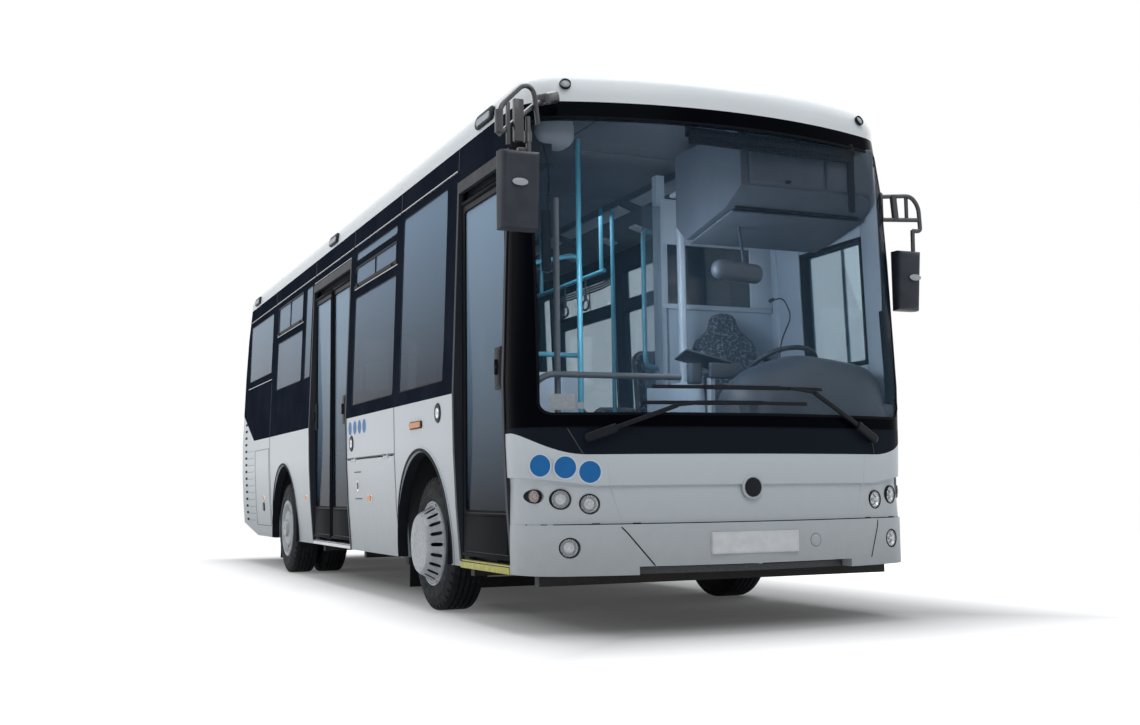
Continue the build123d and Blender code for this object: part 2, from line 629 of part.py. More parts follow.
AXLE_TUBE = 70
SPINDLE_RADIUS = 40
TWIN_INNER_X = REAR_FACE_X - 2 * TYRE_WIDTH - TWIN_GAP
with BuildPart() as rear_axle:
    with Locations(Location((0, REAR_AXLE_Y, TYRE_RADIUS), (0, 90, 0))):
        Cylinder(AXLE_TUBE, 2 * (TWIN_INNER_X - 60))
        Cylinder(SPINDLE_RADIUS, 2 * (REAR_FACE_X + 20))
        Cylinder(165, 230)
    for hand in (-1, 1):
        with Locations((hand * RAIL_X, REAR_AXLE_Y, TYRE_RADIUS)):
            Box(70, 760, 60)
    spring_foot = TYRE_RADIUS + 30
    with Locations(*[(hand * RAIL_X, REAR_AXLE_Y + reach, (spring_foot + REAR_RAIL_Z) / 2)
                     for hand in (-1, 1) for reach in (-300, 300)]):
        Cylinder(95, REAR_RAIL_Z - spring_foot)
write(rear_axle, "rear_axle")

ENGINE = ((-RAIL_X - BEAM / 2, RAIL_X + BEAM / 2), (ENGINE_BAY_Y + 60, TAIL_Y - 330), (480, 1090))
with BuildPart() as engine:
    add(block(*ENGINE))
    chamfer(engine.edges().filter_by(Axis.Y), 40)
    add(chassis.part, mode=Mode.SUBTRACT)
write(engine, "engine_block")

# ---------------------------------------------------------------- wheels
BARREL_WIDTH = TYRE_WIDTH - 32
TRIM_REACH = 85          # how far the front trim's flat middle stands out of the tyre
TRIM_MIDDLE = 183        # radius of that flat middle
TRIM_RIM = 262
SLOTS = 20


def tyre_profile(centre_x):
    """Half section of a tyre with its middle at centre_x, radius along Z."""
    half = TYRE_WIDTH / 2
    bead = half - 26
    with BuildSketch(Plane.XZ) as section:
        with BuildLine():
            Line((centre_x - bead, RIM_RADIUS), (centre_x + bead, RIM_RADIUS))
            for hand in (-1, 1):
                ThreePointArc((centre_x + hand * bead, RIM_RADIUS),
                              (centre_x + hand * half, (RIM_RADIUS + TYRE_RADIUS) / 2),
                              (centre_x + hand * (half - 22), TYRE_RADIUS - 14))
                Line((centre_x + hand * (half - 22), TYRE_RADIUS - 14),
                     (centre_x + hand * (half - 40), TYRE_RADIUS))
            Line((centre_x - half + 40, TYRE_RADIUS), (centre_x + half - 40, TYRE_RADIUS))
        make_face()
    return section.sketch


def turned(profile, axle_y):
    """A solid turned about the wheel axle from a profile whose radius runs along Z."""
    with BuildPart() as solid:
        revolve(profile, Axis.X)
    return Pos(0, axle_y, TYRE_RADIUS) * solid.part


def barrel_profile(centre_x, disc_x, bore):
    """Half section of a rim: the barrel under the beads and the disc that bolts to the hub."""
    low, high = sorted((centre_x - BARREL_WIDTH / 2, centre_x + BARREL_WIDTH / 2))
    with BuildSketch(Plane.XZ) as section:
        with Locations(((low + high) / 2, RIM_RADIUS - 8)):
            Rectangle(high - low, 16)
        with Locations((disc_x, (bore + RIM_RADIUS) / 2)):
            Rectangle(14, RIM_RADIUS - bore)
    return section.sketch


for side_name, hand in (("right", -1), ("left", 1)):
    front_centre = hand * (FRONT_FACE_X - TYRE_WIDTH / 2)
    front_tyre = turned(tyre_profile(front_centre), FRONT_AXLE_Y)
    with BuildPart() as tyre:
        add(front_tyre)
    write(tyre, f"front_tyre_{side_name}")

    twin_centres = [hand * (REAR_FACE_X - TYRE_WIDTH / 2 - step * (TYRE_WIDTH + TWIN_GAP)) for step in (0, 1)]
    twins = [turned(tyre_profile(centre), REAR_AXLE_Y) for centre in twin_centres]
    with BuildPart() as tyres:
        add(twins)
    write(tyres, f"rear_tyres_{side_name}")

    rim_edge = hand * (FRONT_FACE_X - 16)
    trim_tip = hand * (FRONT_FACE_X + TRIM_REACH)
    with BuildSketch(Plane.XZ) as trim:
        with BuildLine():
            Polyline((rim_edge, RIM_RADIUS - 16), (rim_edge, TRIM_RIM), (rim_edge + hand * 8, TRIM_RIM),
                     (trim_tip, TRIM_MIDDLE), (trim_tip, 0), (trim_tip - hand * 8, 0),
                     (trim_tip - hand * 8, TRIM_MIDDLE - 5), (rim_edge + hand * 8, RIM_RADIUS - 16),
                     close=True)
        make_face()
    front_hub = barrel_profile(front_centre, front_centre + hand * 40, STUB_RADIUS + FIT)
    front_barrel = turned(front_hub, FRONT_AXLE_Y)
    front_trim = turned(trim.sketch, FRONT_AXLE_Y)
    slot_x = (rim_edge + trim_tip) / 2 + hand * 4
    slot_radius = (TRIM_RIM + TRIM_MIDDLE) / 2
    with BuildPart() as front_rim:
        add(front_barrel)
        add(front_trim)
        slot_plane = Plane((slot_x, FRONT_AXLE_Y, TYRE_RADIUS), x_dir=(0, 1, 0), z_dir=(1, 0, 0))
        with BuildSketch(slot_plane):
            with PolarLocations(slot_radius + 6, SLOTS):
                SlotOverall(44, 13)
        extrude(amount=90, both=True, mode=Mode.SUBTRACT)
        add(front_barrel)
    write(front_rim, f"front_rim_{side_name}")

    dish_x = hand * (REAR_FACE_X - 60)
    outer_barrel = turned(barrel_profile(twin_centres[0], dish_x, SPINDLE_RADIUS + FIT), REAR_AXLE_Y)
    inner_barrel = turned(barrel_profile(twin_centres[1], twin_centres[1] + hand * 60, SPINDLE_RADIUS + FIT),
                          REAR_AXLE_Y)
    with BuildSketch(Plane.XZ) as hub_section:
        with BuildLine():
            inner_x = twin_centres[1] + hand * 60
            Polyline((inner_x, SPINDLE_RADIUS + FIT), (inner_x, 110), (dish_x + hand * 40, 110),
                     (dish_x + hand * 55, 90), (dish_x + hand * 55, SPINDLE_RADIUS + FIT), close=True)
        make_face()
    hub = turned(hub_section.sketch, REAR_AXLE_Y)
    with BuildPart() as rear_rims:
        add(outer_barrel)
        add(inner_barrel)
        add(hub)
        hole_plane = Plane((dish_x, REAR_AXLE_Y, TYRE_RADIUS), x_dir=(0, 1, 0), z_dir=(1, 0, 0))
        with BuildSketch(hole_plane):
            with PolarLocations(180, 10):
                Circle(22)
        extrude(amount=20, both=True, mode=Mode.SUBTRACT)
    write(rear_rims, f"rear_rims_{side_name}")

# ---------------------------------------------------------------- doors
ARM_TOP_Z = (LEAF_TOP + 12, LEAF_TOP + 30)
ARM_FOOT_Z = (FLOOR_Z + 8, LEAF_BOTTOM - 8)
DRIVE_Z = LEAF_TOP + 45   # underside of the box that holds the door drives
Leaf = namedtuple("Leaf", "name near far")       # near: jamb edge by the post, far: closing edge
middle_seam = sum(MIDDLE_DOOR) / 2
LEAVES = (
    Leaf("front", FRONT_DOOR[1] - FRAME - SEAM, FRONT_DOOR[0] + FRAME + SEAM),
    Leaf("middle_fore", MIDDLE_DOOR[0] + FRAME + SEAM, middle_seam - SEAM),
    Leaf("middle_aft", MIDDLE_DOOR[1] - FRAME - SEAM, middle_seam + SEAM),
)
STILE = 62

with BuildPart() as portals:
    for door in (FRONT_DOOR, MIDDLE_DOOR):
        add(block((-HALF_WIDTH - LIP_PROUD, SEAM - HALF_WIDTH + WALL), door, (FLOOR_Z, DOOR_TOP)))
    for door in (FRONT_DOOR, MIDDLE_DOOR):
        add(block((-FAR, 0), (door[0] + FRAME, door[1] - FRAME), (0, LEAF_TOP + 60)), mode=Mode.SUBTRACT)
with BuildPart() as sills:
    for door in (FRONT_DOOR, MIDDLE_DOOR):
        add(block((SILL_X, SILL_X + 2 * WALL), door, (SKIRT_Z, FLOOR_Z)))
    add(CABIN, mode=Mode.SUBTRACT)
with BuildPart() as door_drives:
    for door in (FRONT_DOOR, MIDDLE_DOOR):
        add(block((-FAR, -HALF_WIDTH + 260), (door[0] - 60, door[1] + 60), (DRIVE_Z, CANTRAIL_Z - 40)))
    add(CABIN, mode=Mode.INTERSECT)
with BuildPart() as door_portals:
    add(portals.part)
    add(PROUD, mode=Mode.INTERSECT)
    add(sills.part)
    add(door_drives.part)
write(door_portals, "door_portals")

for leaf in LEAVES:
    away = 1 if leaf.far > leaf.near else -1
    post_y = leaf.near - away * LEAF_TRIM
    pivot_y = (post_y + leaf.far) / 2
    leaf_span = sorted((leaf.near, leaf.far))
    glass_span = (leaf_span[0] + STILE, leaf_span[1] - STILE)
    glass_z = (LEAF_BOTTOM + 250, LEAF_TOP - 60)
    leaf_x = (LEAF_OUTER_X, LEAF_OUTER_X + LEAF_THICKNESS)

    with BuildPart() as door_leaf:
        add(block(leaf_x, leaf_span, (LEAF_BOTTOM, LEAF_TOP)))
        add(block(leaf_x, glass_span, glass_z), mode=Mode.SUBTRACT)
        for low, high in ((LEAF_TOP - 30, LEAF_TOP), (LEAF_BOTTOM, LEAF_BOTTOM + 30)):
            add(block((leaf_x[1], POST_X + 18), (pivot_y - 18, pivot_y + 18), (low, high)))
        with Locations((POST_X, pivot_y, (LEAF_TOP + ARM_TOP_Z[1]) / 2)):
            Cylinder(9, ARM_TOP_Z[1] - LEAF_TOP)
        with Locations((POST_X, pivot_y, (LEAF_BOTTOM + ARM_FOOT_Z[0]) / 2)):
            Cylinder(9, LEAF_BOTTOM - ARM_FOOT_Z[0])
    write(door_leaf, f"door_leaf_{leaf.name}")

    with BuildPart() as door_glass:
        add(block((LEAF_OUTER_X + 4, LEAF_OUTER_X + 4 + GLASS), glass_span, glass_z))
    write(door_glass, f"door_glass_{leaf.name}")

    with BuildPart() as post:
        with Locations((POST_X, post_y, (FLOOR_Z + DRIVE_Z) / 2)):
            Cylinder(POST_RADIUS, DRIVE_Z - FLOOR_Z - 2 * FIT)
        for low, high in (ARM_TOP_Z, ARM_FOOT_Z):
            add(block((POST_X - 14, POST_X + 14), sorted((post_y, pivot_y)), (low, high)))
            with Locations((POST_X, pivot_y, (low + high) / 2)):
                Cylinder(16, high - low)
                Cylinder(9 + FIT, high - low, mode=Mode.SUBTRACT)
    write(post, f"door_post_{leaf.name}")


# ---------------------------------------------------------------- lamps, plates and trim on the body
LAMP_LAYER = hull(12) - hull(40)
BUMPER_FACE_Y = NOSE_Y - BUMPER_PROUD

FOG_PLAN = plan_outline(LEVELS[0], 10 - BUMPER_PROUD)
FOG_BACK = plan_outline(LEVELS[0], 45)
with BuildPart() as fog_layer:
    extrude(FOG_PLAN, amount=BUMPER_Z - SKIRT_Z)
    extrude(FOG_BACK, amount=BUMPER_Z - SKIRT_Z, mode=Mode.SUBTRACT)
with BuildPart() as fog_units:
    add(fog_layer.part)
    add(lamp_rods(FOG_LAMPS, FRONT_ROD_Y, -FIT), mode=Mode.INTERSECT)
    add(FRONT_ROOM, mode=Mode.INTERSECT)
with BuildPart() as front_lamps:
    add(LAMP_LAYER)
    add(lamp_rods(FRONT_LAMPS, FRONT_ROD_Y, -FIT), mode=Mode.INTERSECT)
    add(FRONT_ROOM, mode=Mode.INTERSECT)
    add(fog_units.part)
write(front_lamps, "front_lamps")

ROOF_LAMP = (934, 2864)                   # across and height, on the roof's front edge
CANTRAIL_LAMP_YS = (-3664, 66, 3700)
CANTRAIL_LAMP_Z = 2829
ROOF_PROUD = dome(-14)
with BuildPart() as marker_lamps:
    for hand in (-1, 1):
        with Locations(Location((hand * ROOF_LAMP[0], NOSE_Y + 400, ROOF_LAMP[1]), (90, 0, 0))):
            Cylinder(26, 800)
        for lamp_y in CANTRAIL_LAMP_YS:
            with BuildSketch(Plane((hand * HALF_WIDTH, lamp_y, CANTRAIL_LAMP_Z), x_dir=(0, 1, 0),
                                   z_dir=(hand, 0, 0))):
                Ellipse(75, 26)
            extrude(amount=200, both=True)
    add(ROOF_PROUD, mode=Mode.INTERSECT)
    add(ROOF_OUTSIDE, mode=Mode.SUBTRACT)

PLATE = (520, 112)
PLATE_Z = (458, 480)      # middles of the front and the rear plate
PLATE_DEPTH = 18
with BuildPart() as front_backing:
    add(block((-PLATE[0] / 2, PLATE[0] / 2), (BUMPER_FACE_Y - 4, BUMPER_FACE_Y + PLATE_DEPTH),
              (PLATE_Z[0] - PLATE[1] / 2, PLATE_Z[0] + PLATE[1] / 2)))
    extrude(BUMPER_PLAN, amount=BUMPER_Z - SKIRT_Z, mode=Mode.SUBTRACT)
with BuildPart() as plates:
    add(block((-PLATE[0] / 2, PLATE[0] / 2), (TAIL_Y - PLATE_DEPTH, TAIL_Y + 4),
              (PLATE_Z[1] - PLATE[1] / 2, PLATE_Z[1] + PLATE[1] / 2)))
    add(BODY, mode=Mode.SUBTRACT)
    add(front_backing.part)
write(plates, "plate_holders")

with BuildPart() as tail_lamps:
    add(lamp_rods(TAIL_LAMPS, TAIL_ROD_Y))
    add(SKIN, mode=Mode.INTERSECT)
    add(marker_lamps.part)
write(tail_lamps, "marker_lamps")

MUD_FLAP = 12            # thickness of the rubber
MUD_FLAP_Z = (110, 420)
MUD_FLAP_INNER_X = (860, 660)             # front and rear
with BuildPart() as mud_flaps:
    for hand in (-1, 1):
        for wheel_box, inner in zip(WHEEL_BOXES, MUD_FLAP_INNER_X):
            span = sorted((hand * inner, hand * (HALF_WIDTH - TUCK - WALL)))
            wall_y = wheel_box.axle_y + wheel_box.half_length
            add(block(span, (wall_y - MUD_FLAP, wall_y), MUD_FLAP_Z))
write(mud_flaps, "mud_flaps")

# ---------------------------------------------------------------- wipers
ARM_LAYER = hull(-52) - hull(-30)
BLADE_LAYER = hull(-30) - hull(-4)
PIVOT_LAYER = hull(-52)
Wiper = namedtuple("Wiper", "pivot elbow blade_start blade_end")
WIPERS = (
    Wiper((-880, 1000), (-420, 1168), (-610, 1176), (360, 1182)),
    Wiper((835, 1000), (400, 1248), (-560, 1258), (470, 1262)),
)


def front_strip(start, end, width):
    """A straight bar across the front between two points given as x and z."""
    length = hypot(end[0] - start[0], end[1] - start[1])
    middle = ((start[0] + end[0]) / 2, (start[1] + end[1]) / 2)
    along = Vector(end[0] - start[0], 0, end[1] - start[1])
    with BuildPart() as strip:
        with BuildSketch(Plane((middle[0], NOSE_Y, middle[1]), x_dir=along, z_dir=(0, -1, 0))):
            SlotOverall(length + width, width)
        extrude(amount=500, both=True)
    return strip.part


ARMS = [front_strip(wiper.pivot, wiper.elbow, 22) for wiper in WIPERS]
CLASPS = [(wiper.blade_start[0] + 10, wiper.blade_start[1] + 1) for wiper in WIPERS]
ELBOWS = [front_strip(wiper.elbow, clasp, 22) for wiper, clasp in zip(WIPERS, CLASPS)]
BLADES = [front_strip(wiper.blade_start, wiper.blade_end, 20) for wiper in WIPERS]
with BuildPart() as arms:
    add(ARM_LAYER)
    add(ARMS, mode=Mode.INTERSECT)
with BuildPart() as blades:
    add(BLADE_LAYER)
    add(BLADES, mode=Mode.INTERSECT)
with BuildPart() as pivots:
    for wiper in WIPERS:
        with Locations(Location((wiper.pivot[0], NOSE_Y + 100, wiper.pivot[1]), (90, 0, 0))):
            Cylinder(26, 500)
    add(PIVOT_LAYER, mode=Mode.INTERSECT)
    add(BODY, mode=Mode.SUBTRACT)
    add(FRONT_ROOM, mode=Mode.INTERSECT)
with BuildPart() as wipers:
    add(arms.part)
    add(blades.part)
    add(pivots.part)
write(wipers, "wipers")

# ---------------------------------------------------------------- mirrors
TUBE = 13
Mirror = namedtuple("Mirror", "head size route")
MIRRORS = (
    Mirror((-1318, -4600, 2190), (216, 112, 385),
           ((-1000, -4250, 2765), (-1170, -4440, 2765), (-1300, -4570, 2700), (-1258, -4580, 2370))),
    Mirror((1268, -4250, 1940), (170, 110, 350),
           ((1080, -4130, 2456), (1230, -4220, 2456), (1352, -4262, 2330), (1314, -4255, 2100))),
)
mirror_pieces = []
for mirror in MIRRORS:
    with BuildPart() as mirror_piece:
        with BuildLine():
            route = FilletPolyline(*mirror.route, radius=45)
        with BuildSketch(Plane(route @ 0, z_dir=route % 0)):
            Circle(TUBE)
        sweep()
        with Locations(mirror.head):
            Box(*mirror.size)
        fillet(mirror_piece.faces().sort_by(Axis.Y)[0].edges(), 25)
        add(BODY, mode=Mode.SUBTRACT)
        add(ROOF_OUTSIDE, mode=Mode.SUBTRACT)
    mirror_pieces.append(mirror_piece.part)
with BuildPart() as mirrors:
    add(mirror_pieces)
write(mirrors, "mirrors")

# ---------------------------------------------------------------- driver's cab
CAB_FLOOR_Z = FLOOR_Z + 320
CAB_RIGHT_X = 60
CAB_BACK_Y = -3020       # partition behind the driver
CAB_STEP_Y = CAB_BACK_Y - 200
DRIVER_X = 620
DASH_BACK_Y = -4020
DASH_TOP_Z = 1290
DASH_HOOD = (DRIVER_X + 140, -4180, 1250)     # middle of the round hood over the gauges

with BuildPart() as cab_floor:
    add(block((CAB_RIGHT_X, FAR), (-FAR, CAB_STEP_Y), (CAB_FLOOR_Z - SHEET, CAB_FLOOR_Z)))
    add(block((CAB_RIGHT_X, CAB_RIGHT_X + SHEET), (-FAR, CAB_STEP_Y), (FLOOR_Z, CAB_FLOOR_Z)))
    add(block((CAB_RIGHT_X, FAR), (CAB_STEP_Y - SHEET, CAB_STEP_Y), (FLOOR_Z, CAB_FLOOR_Z)))
    add(CABIN, mode=Mode.INTERSECT)
    add(WHEEL_HOUSES, mode=Mode.SUBTRACT)

with BuildPart() as dashboard:
    with BuildSketch(Plane.YZ.offset(CAB_RIGHT_X + 40)):
        with BuildLine():
            Polyline((NOSE_Y, CAB_FLOOR_Z), (DASH_BACK_Y - 120, CAB_FLOOR_Z),
                     (DASH_BACK_Y - 120, DASH_TOP_Z - 110), (DASH_BACK_Y, DASH_TOP_Z - 60),
                     (DASH_BACK_Y, DASH_TOP_Z), (NOSE_Y, DASH_TOP_Z), close=True)
        make_face()
    extrude(amount=HALF_WIDTH)
    with Locations(Location(DASH_HOOD, (90, 0, 0))):
        Cylinder(330, 320)
    add(block((-FAR, FAR), (-FAR, FAR), (0, CAB_FLOOR_Z)), mode=Mode.SUBTRACT)
    add(CABIN, mode=Mode.INTERSECT)
write(dashboard, "dashboard")

WHEEL_MIDDLE = (DRIVER_X, -3880, 1440)
WHEEL_TILT = 30
with BuildPart() as steering_wheel:
    column_lean = (0, sin(radians(WHEEL_TILT)), cos(radians(WHEEL_TILT)))
    wheel_plane = Plane(WHEEL_MIDDLE, x_dir=(1, 0, 0), z_dir=column_lean)
    with Locations(wheel_plane):
        Torus(210, 15)
        Cylinder(55, 40)
        with PolarLocations(0, 3, start_angle=90):
            with Locations((125, 0, 0)):
                Box(180, 30, 14)
        with Locations((0, 0, -140)):
            Cylinder(28, 260)
    add(dashboard.part, mode=Mode.SUBTRACT)
write(steering_wheel, "steering_wheel")

SEAT_Y = -3480
with BuildPart() as driver_seat:
    with Locations((DRIVER_X, SEAT_Y, CAB_FLOOR_Z + 140)):
        Box(300, 320, 280)
    with Locations((DRIVER_X, SEAT_Y - 20, CAB_FLOOR_Z + 350)):
        Box(460, 470, 140)
    with BuildSketch(Plane.YZ.offset(DRIVER_X - 220)):
        with BuildLine():
            Polyline((SEAT_Y + 130, CAB_FLOOR_Z + 400), (SEAT_Y + 230, CAB_FLOOR_Z + 380),
                     (SEAT_Y + 300, CAB_FLOOR_Z + 1200), (SEAT_Y + 210, CAB_FLOOR_Z + 1210), close=True)
        make_face()
    extrude(amount=440)
write(driver_seat, "driver_seat")

PANEL = 30
with BuildPart() as partition:
    add(block((CAB_RIGHT_X + 180, FAR), (CAB_BACK_Y, CAB_BACK_Y + PANEL), (1060, 1900)))
    add(block((CAB_RIGHT_X + 180, CAB_RIGHT_X + 240), (CAB_BACK_Y - 30, CAB_BACK_Y + PANEL),
              (FLOOR_Z, CANTRAIL_Z)))
    add(CABIN, mode=Mode.INTERSECT)
    add(WHEEL_HOUSES, mode=Mode.SUBTRACT)
    add(block((CAB_RIGHT_X, CAB_RIGHT_X + SHEET), (DASH_BACK_Y, CAB_STEP_Y), (CAB_FLOOR_Z, 1360)))
    add(cab_floor.part)
write(partition, "cab_partition")

with BuildPart() as console:
    with BuildSketch(Plane.YZ.offset(CAB_RIGHT_X + 80)):
        with BuildLine():
            Polyline((NOSE_Y, CANTRAIL_Z), (NOSE_Y, 2560), (-4100, 2330), (-3620, 2230), (-3500, 2330),
                     (-3500, CANTRAIL_Z), close=True)
        make_face()
    extrude(amount=HALF_WIDTH)
    add(CABIN, mode=Mode.INTERSECT)
    add(block((-FAR, FAR), (-FAR, NOSE_Y + 260), (0, FAR)), mode=Mode.SUBTRACT)
write(console, "overhead_console")

# ---------------------------------------------------------------- passenger seats
SEAT_PITCH = 440
Row = namedtuple("Row", "side x_inner y base seats")       # y: front edge of the cushions
ROWS = (
    Row("right", -1060, -1620, FLOOR_Z, 2),
    Row("right", -1060, 1420, WHEEL_BOXES[1].top + SHEET, 1),
    Row("right", -1060, 2100, WHEEL_BOXES[1].top + SHEET, 1),
    Row("right", -1060, 2720, REAR_FLOOR_Z, 2),
    Row("left", 1060, -2980, WHEEL_BOXES[0].top + SHEET, 1),
    Row("left", 1060, -2340, WHEEL_BOXES[0].top + SHEET, 1),
    Row("left", 1060, -1620, FLOOR_Z, 2),
    Row("left", 1060, -860, FLOOR_Z, 2),
    Row("left", 1060, 1420, WHEEL_BOXES[1].top + SHEET, 1),
    Row("left", 1060, 2100, WHEEL_BOXES[1].top + SHEET, 1),
    Row("left", 1060, 2720, REAR_FLOOR_Z, 2),
)
CUSHION = (400, 400, 80)
SEAT_HEIGHT = 430
BACK_HEIGHT = 640


def seat(x, front_y, base_z, on_box):
    """One passenger seat: foot, cushion and leaning back as one closed solid."""
    top = base_z + (120 if on_box else SEAT_HEIGHT)
    back_y = front_y + CUSHION[1]
    with BuildPart() as piece:
        with BuildSketch(Plane.YZ.offset(x - CUSHION[0] / 2)):
            with BuildLine():
                Polyline((front_y, top - CUSHION[2]), (front_y, top), (back_y, top - 20),
                         (back_y + 90, top + BACK_HEIGHT), (back_y + 150, top + BACK_HEIGHT),
                         (back_y + 70, top - CUSHION[2]), close=True)
            make_face()
        extrude(amount=CUSHION[0])
        foot = block((x - 90, x + 90), (front_y + 120, front_y + 330), (base_z, top - CUSHION[2]))
        add(foot)
    return piece.part


BOX_TOPS = [wheel_box.top + SHEET for wheel_box in WHEEL_BOXES]
for side_name, hand in (("right", -1), ("left", 1)):
    placed = []
    for row in ROWS:
        if row.side == side_name:
            for number in range(row.seats):
                seat_x = row.x_inner - hand * (CUSHION[0] / 2 + number * SEAT_PITCH)
                placed.append(seat(seat_x, row.y, row.base, row.base in BOX_TOPS))
    with BuildPart() as seats:
        add(placed)
    write(seats, f"seats_{side_name}")

bench = [seat((number - 2) * SEAT_PITCH, ENGINE_BAY_Y + SHEET, PODIUM_Z, True) for number in range(5)]
with BuildPart() as rear_seats:
    add(bench)
write(rear_seats, "seats_rear")

# ---------------------------------------------------------------- handrails
RAIL = 16
CEILING_Z = ROOF_Z - WALL
Pole = namedtuple("Pole", "x y low")
POLES = (
    Pole(-439, -3330, FLOOR_Z),
    Pole(-560, -1700, FLOOR_Z),
    Pole(560, -1700, FLOOR_Z),
    Pole(-560, -780, FLOOR_Z),
    Pole(-420, 1000, FLOOR_Z),
    Pole(420, 1000, FLOOR_Z),
)
GRAB_Z = 2380
GRAB_X = 490
Rail = namedtuple("Rail", "x start end hangers")
RAILS = (
    Rail(-GRAB_X, -1700, MIDDLE_DOOR[0] - 120, 2),
    Rail(-GRAB_X, MIDDLE_DOOR[1] + 260, 3200, 3),
    Rail(GRAB_X, -1700, 3200, 5),
)
HANGER_INSET = 50        # from a rail's end to its outer hanger
with BuildPart() as handrails:
    for pole in POLES:
        with Locations((pole.x, pole.y, (pole.low + CEILING_Z) / 2)):
            Cylinder(RAIL, CEILING_Z - pole.low)
    for rail in RAILS:
        with Locations(Location((rail.x, (rail.start + rail.end) / 2, GRAB_Z), (90, 0, 0))):
            Cylinder(RAIL, rail.end - rail.start)
        pitch = (rail.end - rail.start - 2 * HANGER_INSET) / (rail.hangers - 1)
        for number in range(rail.hangers):
            with Locations((rail.x, rail.start + HANGER_INSET + number * pitch, (GRAB_Z + CEILING_Z) / 2)):
                Cylinder(RAIL, CEILING_Z - GRAB_Z)
write(handrails, "handrails")
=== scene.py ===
"""A low-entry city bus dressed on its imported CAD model: paint, glass, wheels, lamps, mirrors and cab.

All lengths are metres. The bus stands on z = 0 with its front towards -Y and its doors on -X.
"""
from math import asin, atan2, cos, hypot, pi, radians, sin

import bmesh
import bpy
from mathutils import Matrix, Vector
from mathutils.bvhtree import BVHTree


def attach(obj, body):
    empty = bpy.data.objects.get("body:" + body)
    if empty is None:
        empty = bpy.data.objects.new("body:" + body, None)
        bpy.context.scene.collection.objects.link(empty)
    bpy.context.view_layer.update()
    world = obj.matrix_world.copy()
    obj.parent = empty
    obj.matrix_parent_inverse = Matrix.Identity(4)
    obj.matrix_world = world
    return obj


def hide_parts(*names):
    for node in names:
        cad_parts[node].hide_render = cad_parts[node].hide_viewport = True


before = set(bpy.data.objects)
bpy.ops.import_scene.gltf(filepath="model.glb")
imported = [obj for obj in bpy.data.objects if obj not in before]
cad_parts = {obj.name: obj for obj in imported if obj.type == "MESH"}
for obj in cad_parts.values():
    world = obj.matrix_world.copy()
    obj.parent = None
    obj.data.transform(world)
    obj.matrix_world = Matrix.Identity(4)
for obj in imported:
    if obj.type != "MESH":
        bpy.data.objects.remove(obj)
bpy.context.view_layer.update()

# ---------------------------------------------------------------- camera, lamps and floor
# A matt pale studio floor, with large soft panels over the door side and in front of the bus.
# The floor fades into the white room and keeps the shadow of the bus; under and round the bus it is painted
# darker, a painted shadow.
IMAGE_WIDTH = 1140
FOCAL_PIXELS = 1274.16
SENSOR_WIDTH = 36
FAR_CLIP = 200
CAMERA_PLACE = Vector((-3.5213, -10.2810, 0.7310))
YAW, PITCH, ROLL = -0.4092, 0.1006, -0.0123

ahead = Vector((-sin(YAW) * cos(PITCH), cos(YAW) * cos(PITCH), sin(PITCH)))
level_right = Vector((cos(YAW), sin(YAW), 0))
level_up = level_right.cross(ahead)
right = level_right * cos(ROLL) + level_up * sin(ROLL)
up = level_up * cos(ROLL) - level_right * sin(ROLL)
camera_data = bpy.data.cameras.new("camera")
camera_data.sensor_width = SENSOR_WIDTH
camera_data.lens = FOCAL_PIXELS * SENSOR_WIDTH / IMAGE_WIDTH
camera_data.clip_end = FAR_CLIP


def placed(name, data):
    """A new object with its data, put in the scene."""
    made = bpy.data.objects.new(name, data)
    bpy.context.scene.collection.objects.link(made)
    return made


camera = placed("camera", camera_data)
camera.matrix_world = Matrix.Translation(CAMERA_PLACE) @ Matrix((right, up, -ahead)).transposed().to_4x4()
bpy.context.scene.camera = camera
bpy.context.scene.view_settings.view_transform = "Standard"


def soft_panel(name, place, toward, size, power, tint=(1, 1, 1)):
    """A square studio lamp that faces a point."""
    lamp = bpy.data.lights.new(name, "AREA")
    lamp.shape = "SQUARE"
    lamp.size = size
    lamp.energy = power
    lamp.color = tint
    holder = placed(name, lamp)
    facing = (Vector(toward) - Vector(place)).to_track_quat("-Z", "Y")
    holder.matrix_world = Matrix.Translation(place) @ facing.to_matrix().to_4x4()
    holder.visible_camera = False


soft_panel("door_side_lamp", (-11, 2, 8), (0, 0, 1.5), 9, 290)
soft_panel("front_lamp", (-1, -13, 12), (0, -3, 1.8), 8, 520)
soft_panel("top_lamp", (1, 0, 12), (0, 0, 0), 10, 1050)
soft_panel("far_side_lamp", (12, 0, 7), (0, 0, 1.5), 8, 220)
DAYLIGHT = (0.80, 0.90, 1.0)
soft_panel("cab_lamp", (-0.55, -4.00, 1.95), (1.10, -3.10, 1.70), 0.5, 13, DAYLIGHT)
soft_panel("saloon_lamp", (0, -1.50, 2.75), (0.3, -1.5, 0), 1.0, 14, DAYLIGHT)


def add_node(tree, kind, inputs, **settings):
    """A shader node with its settings made and its inputs filled or joined."""
    made = tree.nodes.new("ShaderNode" + kind)
    for setting, value in settings.items():
        setattr(made, setting, value)
    for socket, value in inputs.items():
        if isinstance(value, bpy.types.NodeSocket):
            tree.links.new(value, made.inputs[socket])
        else:
            made.inputs[socket].default_value = value
    return made


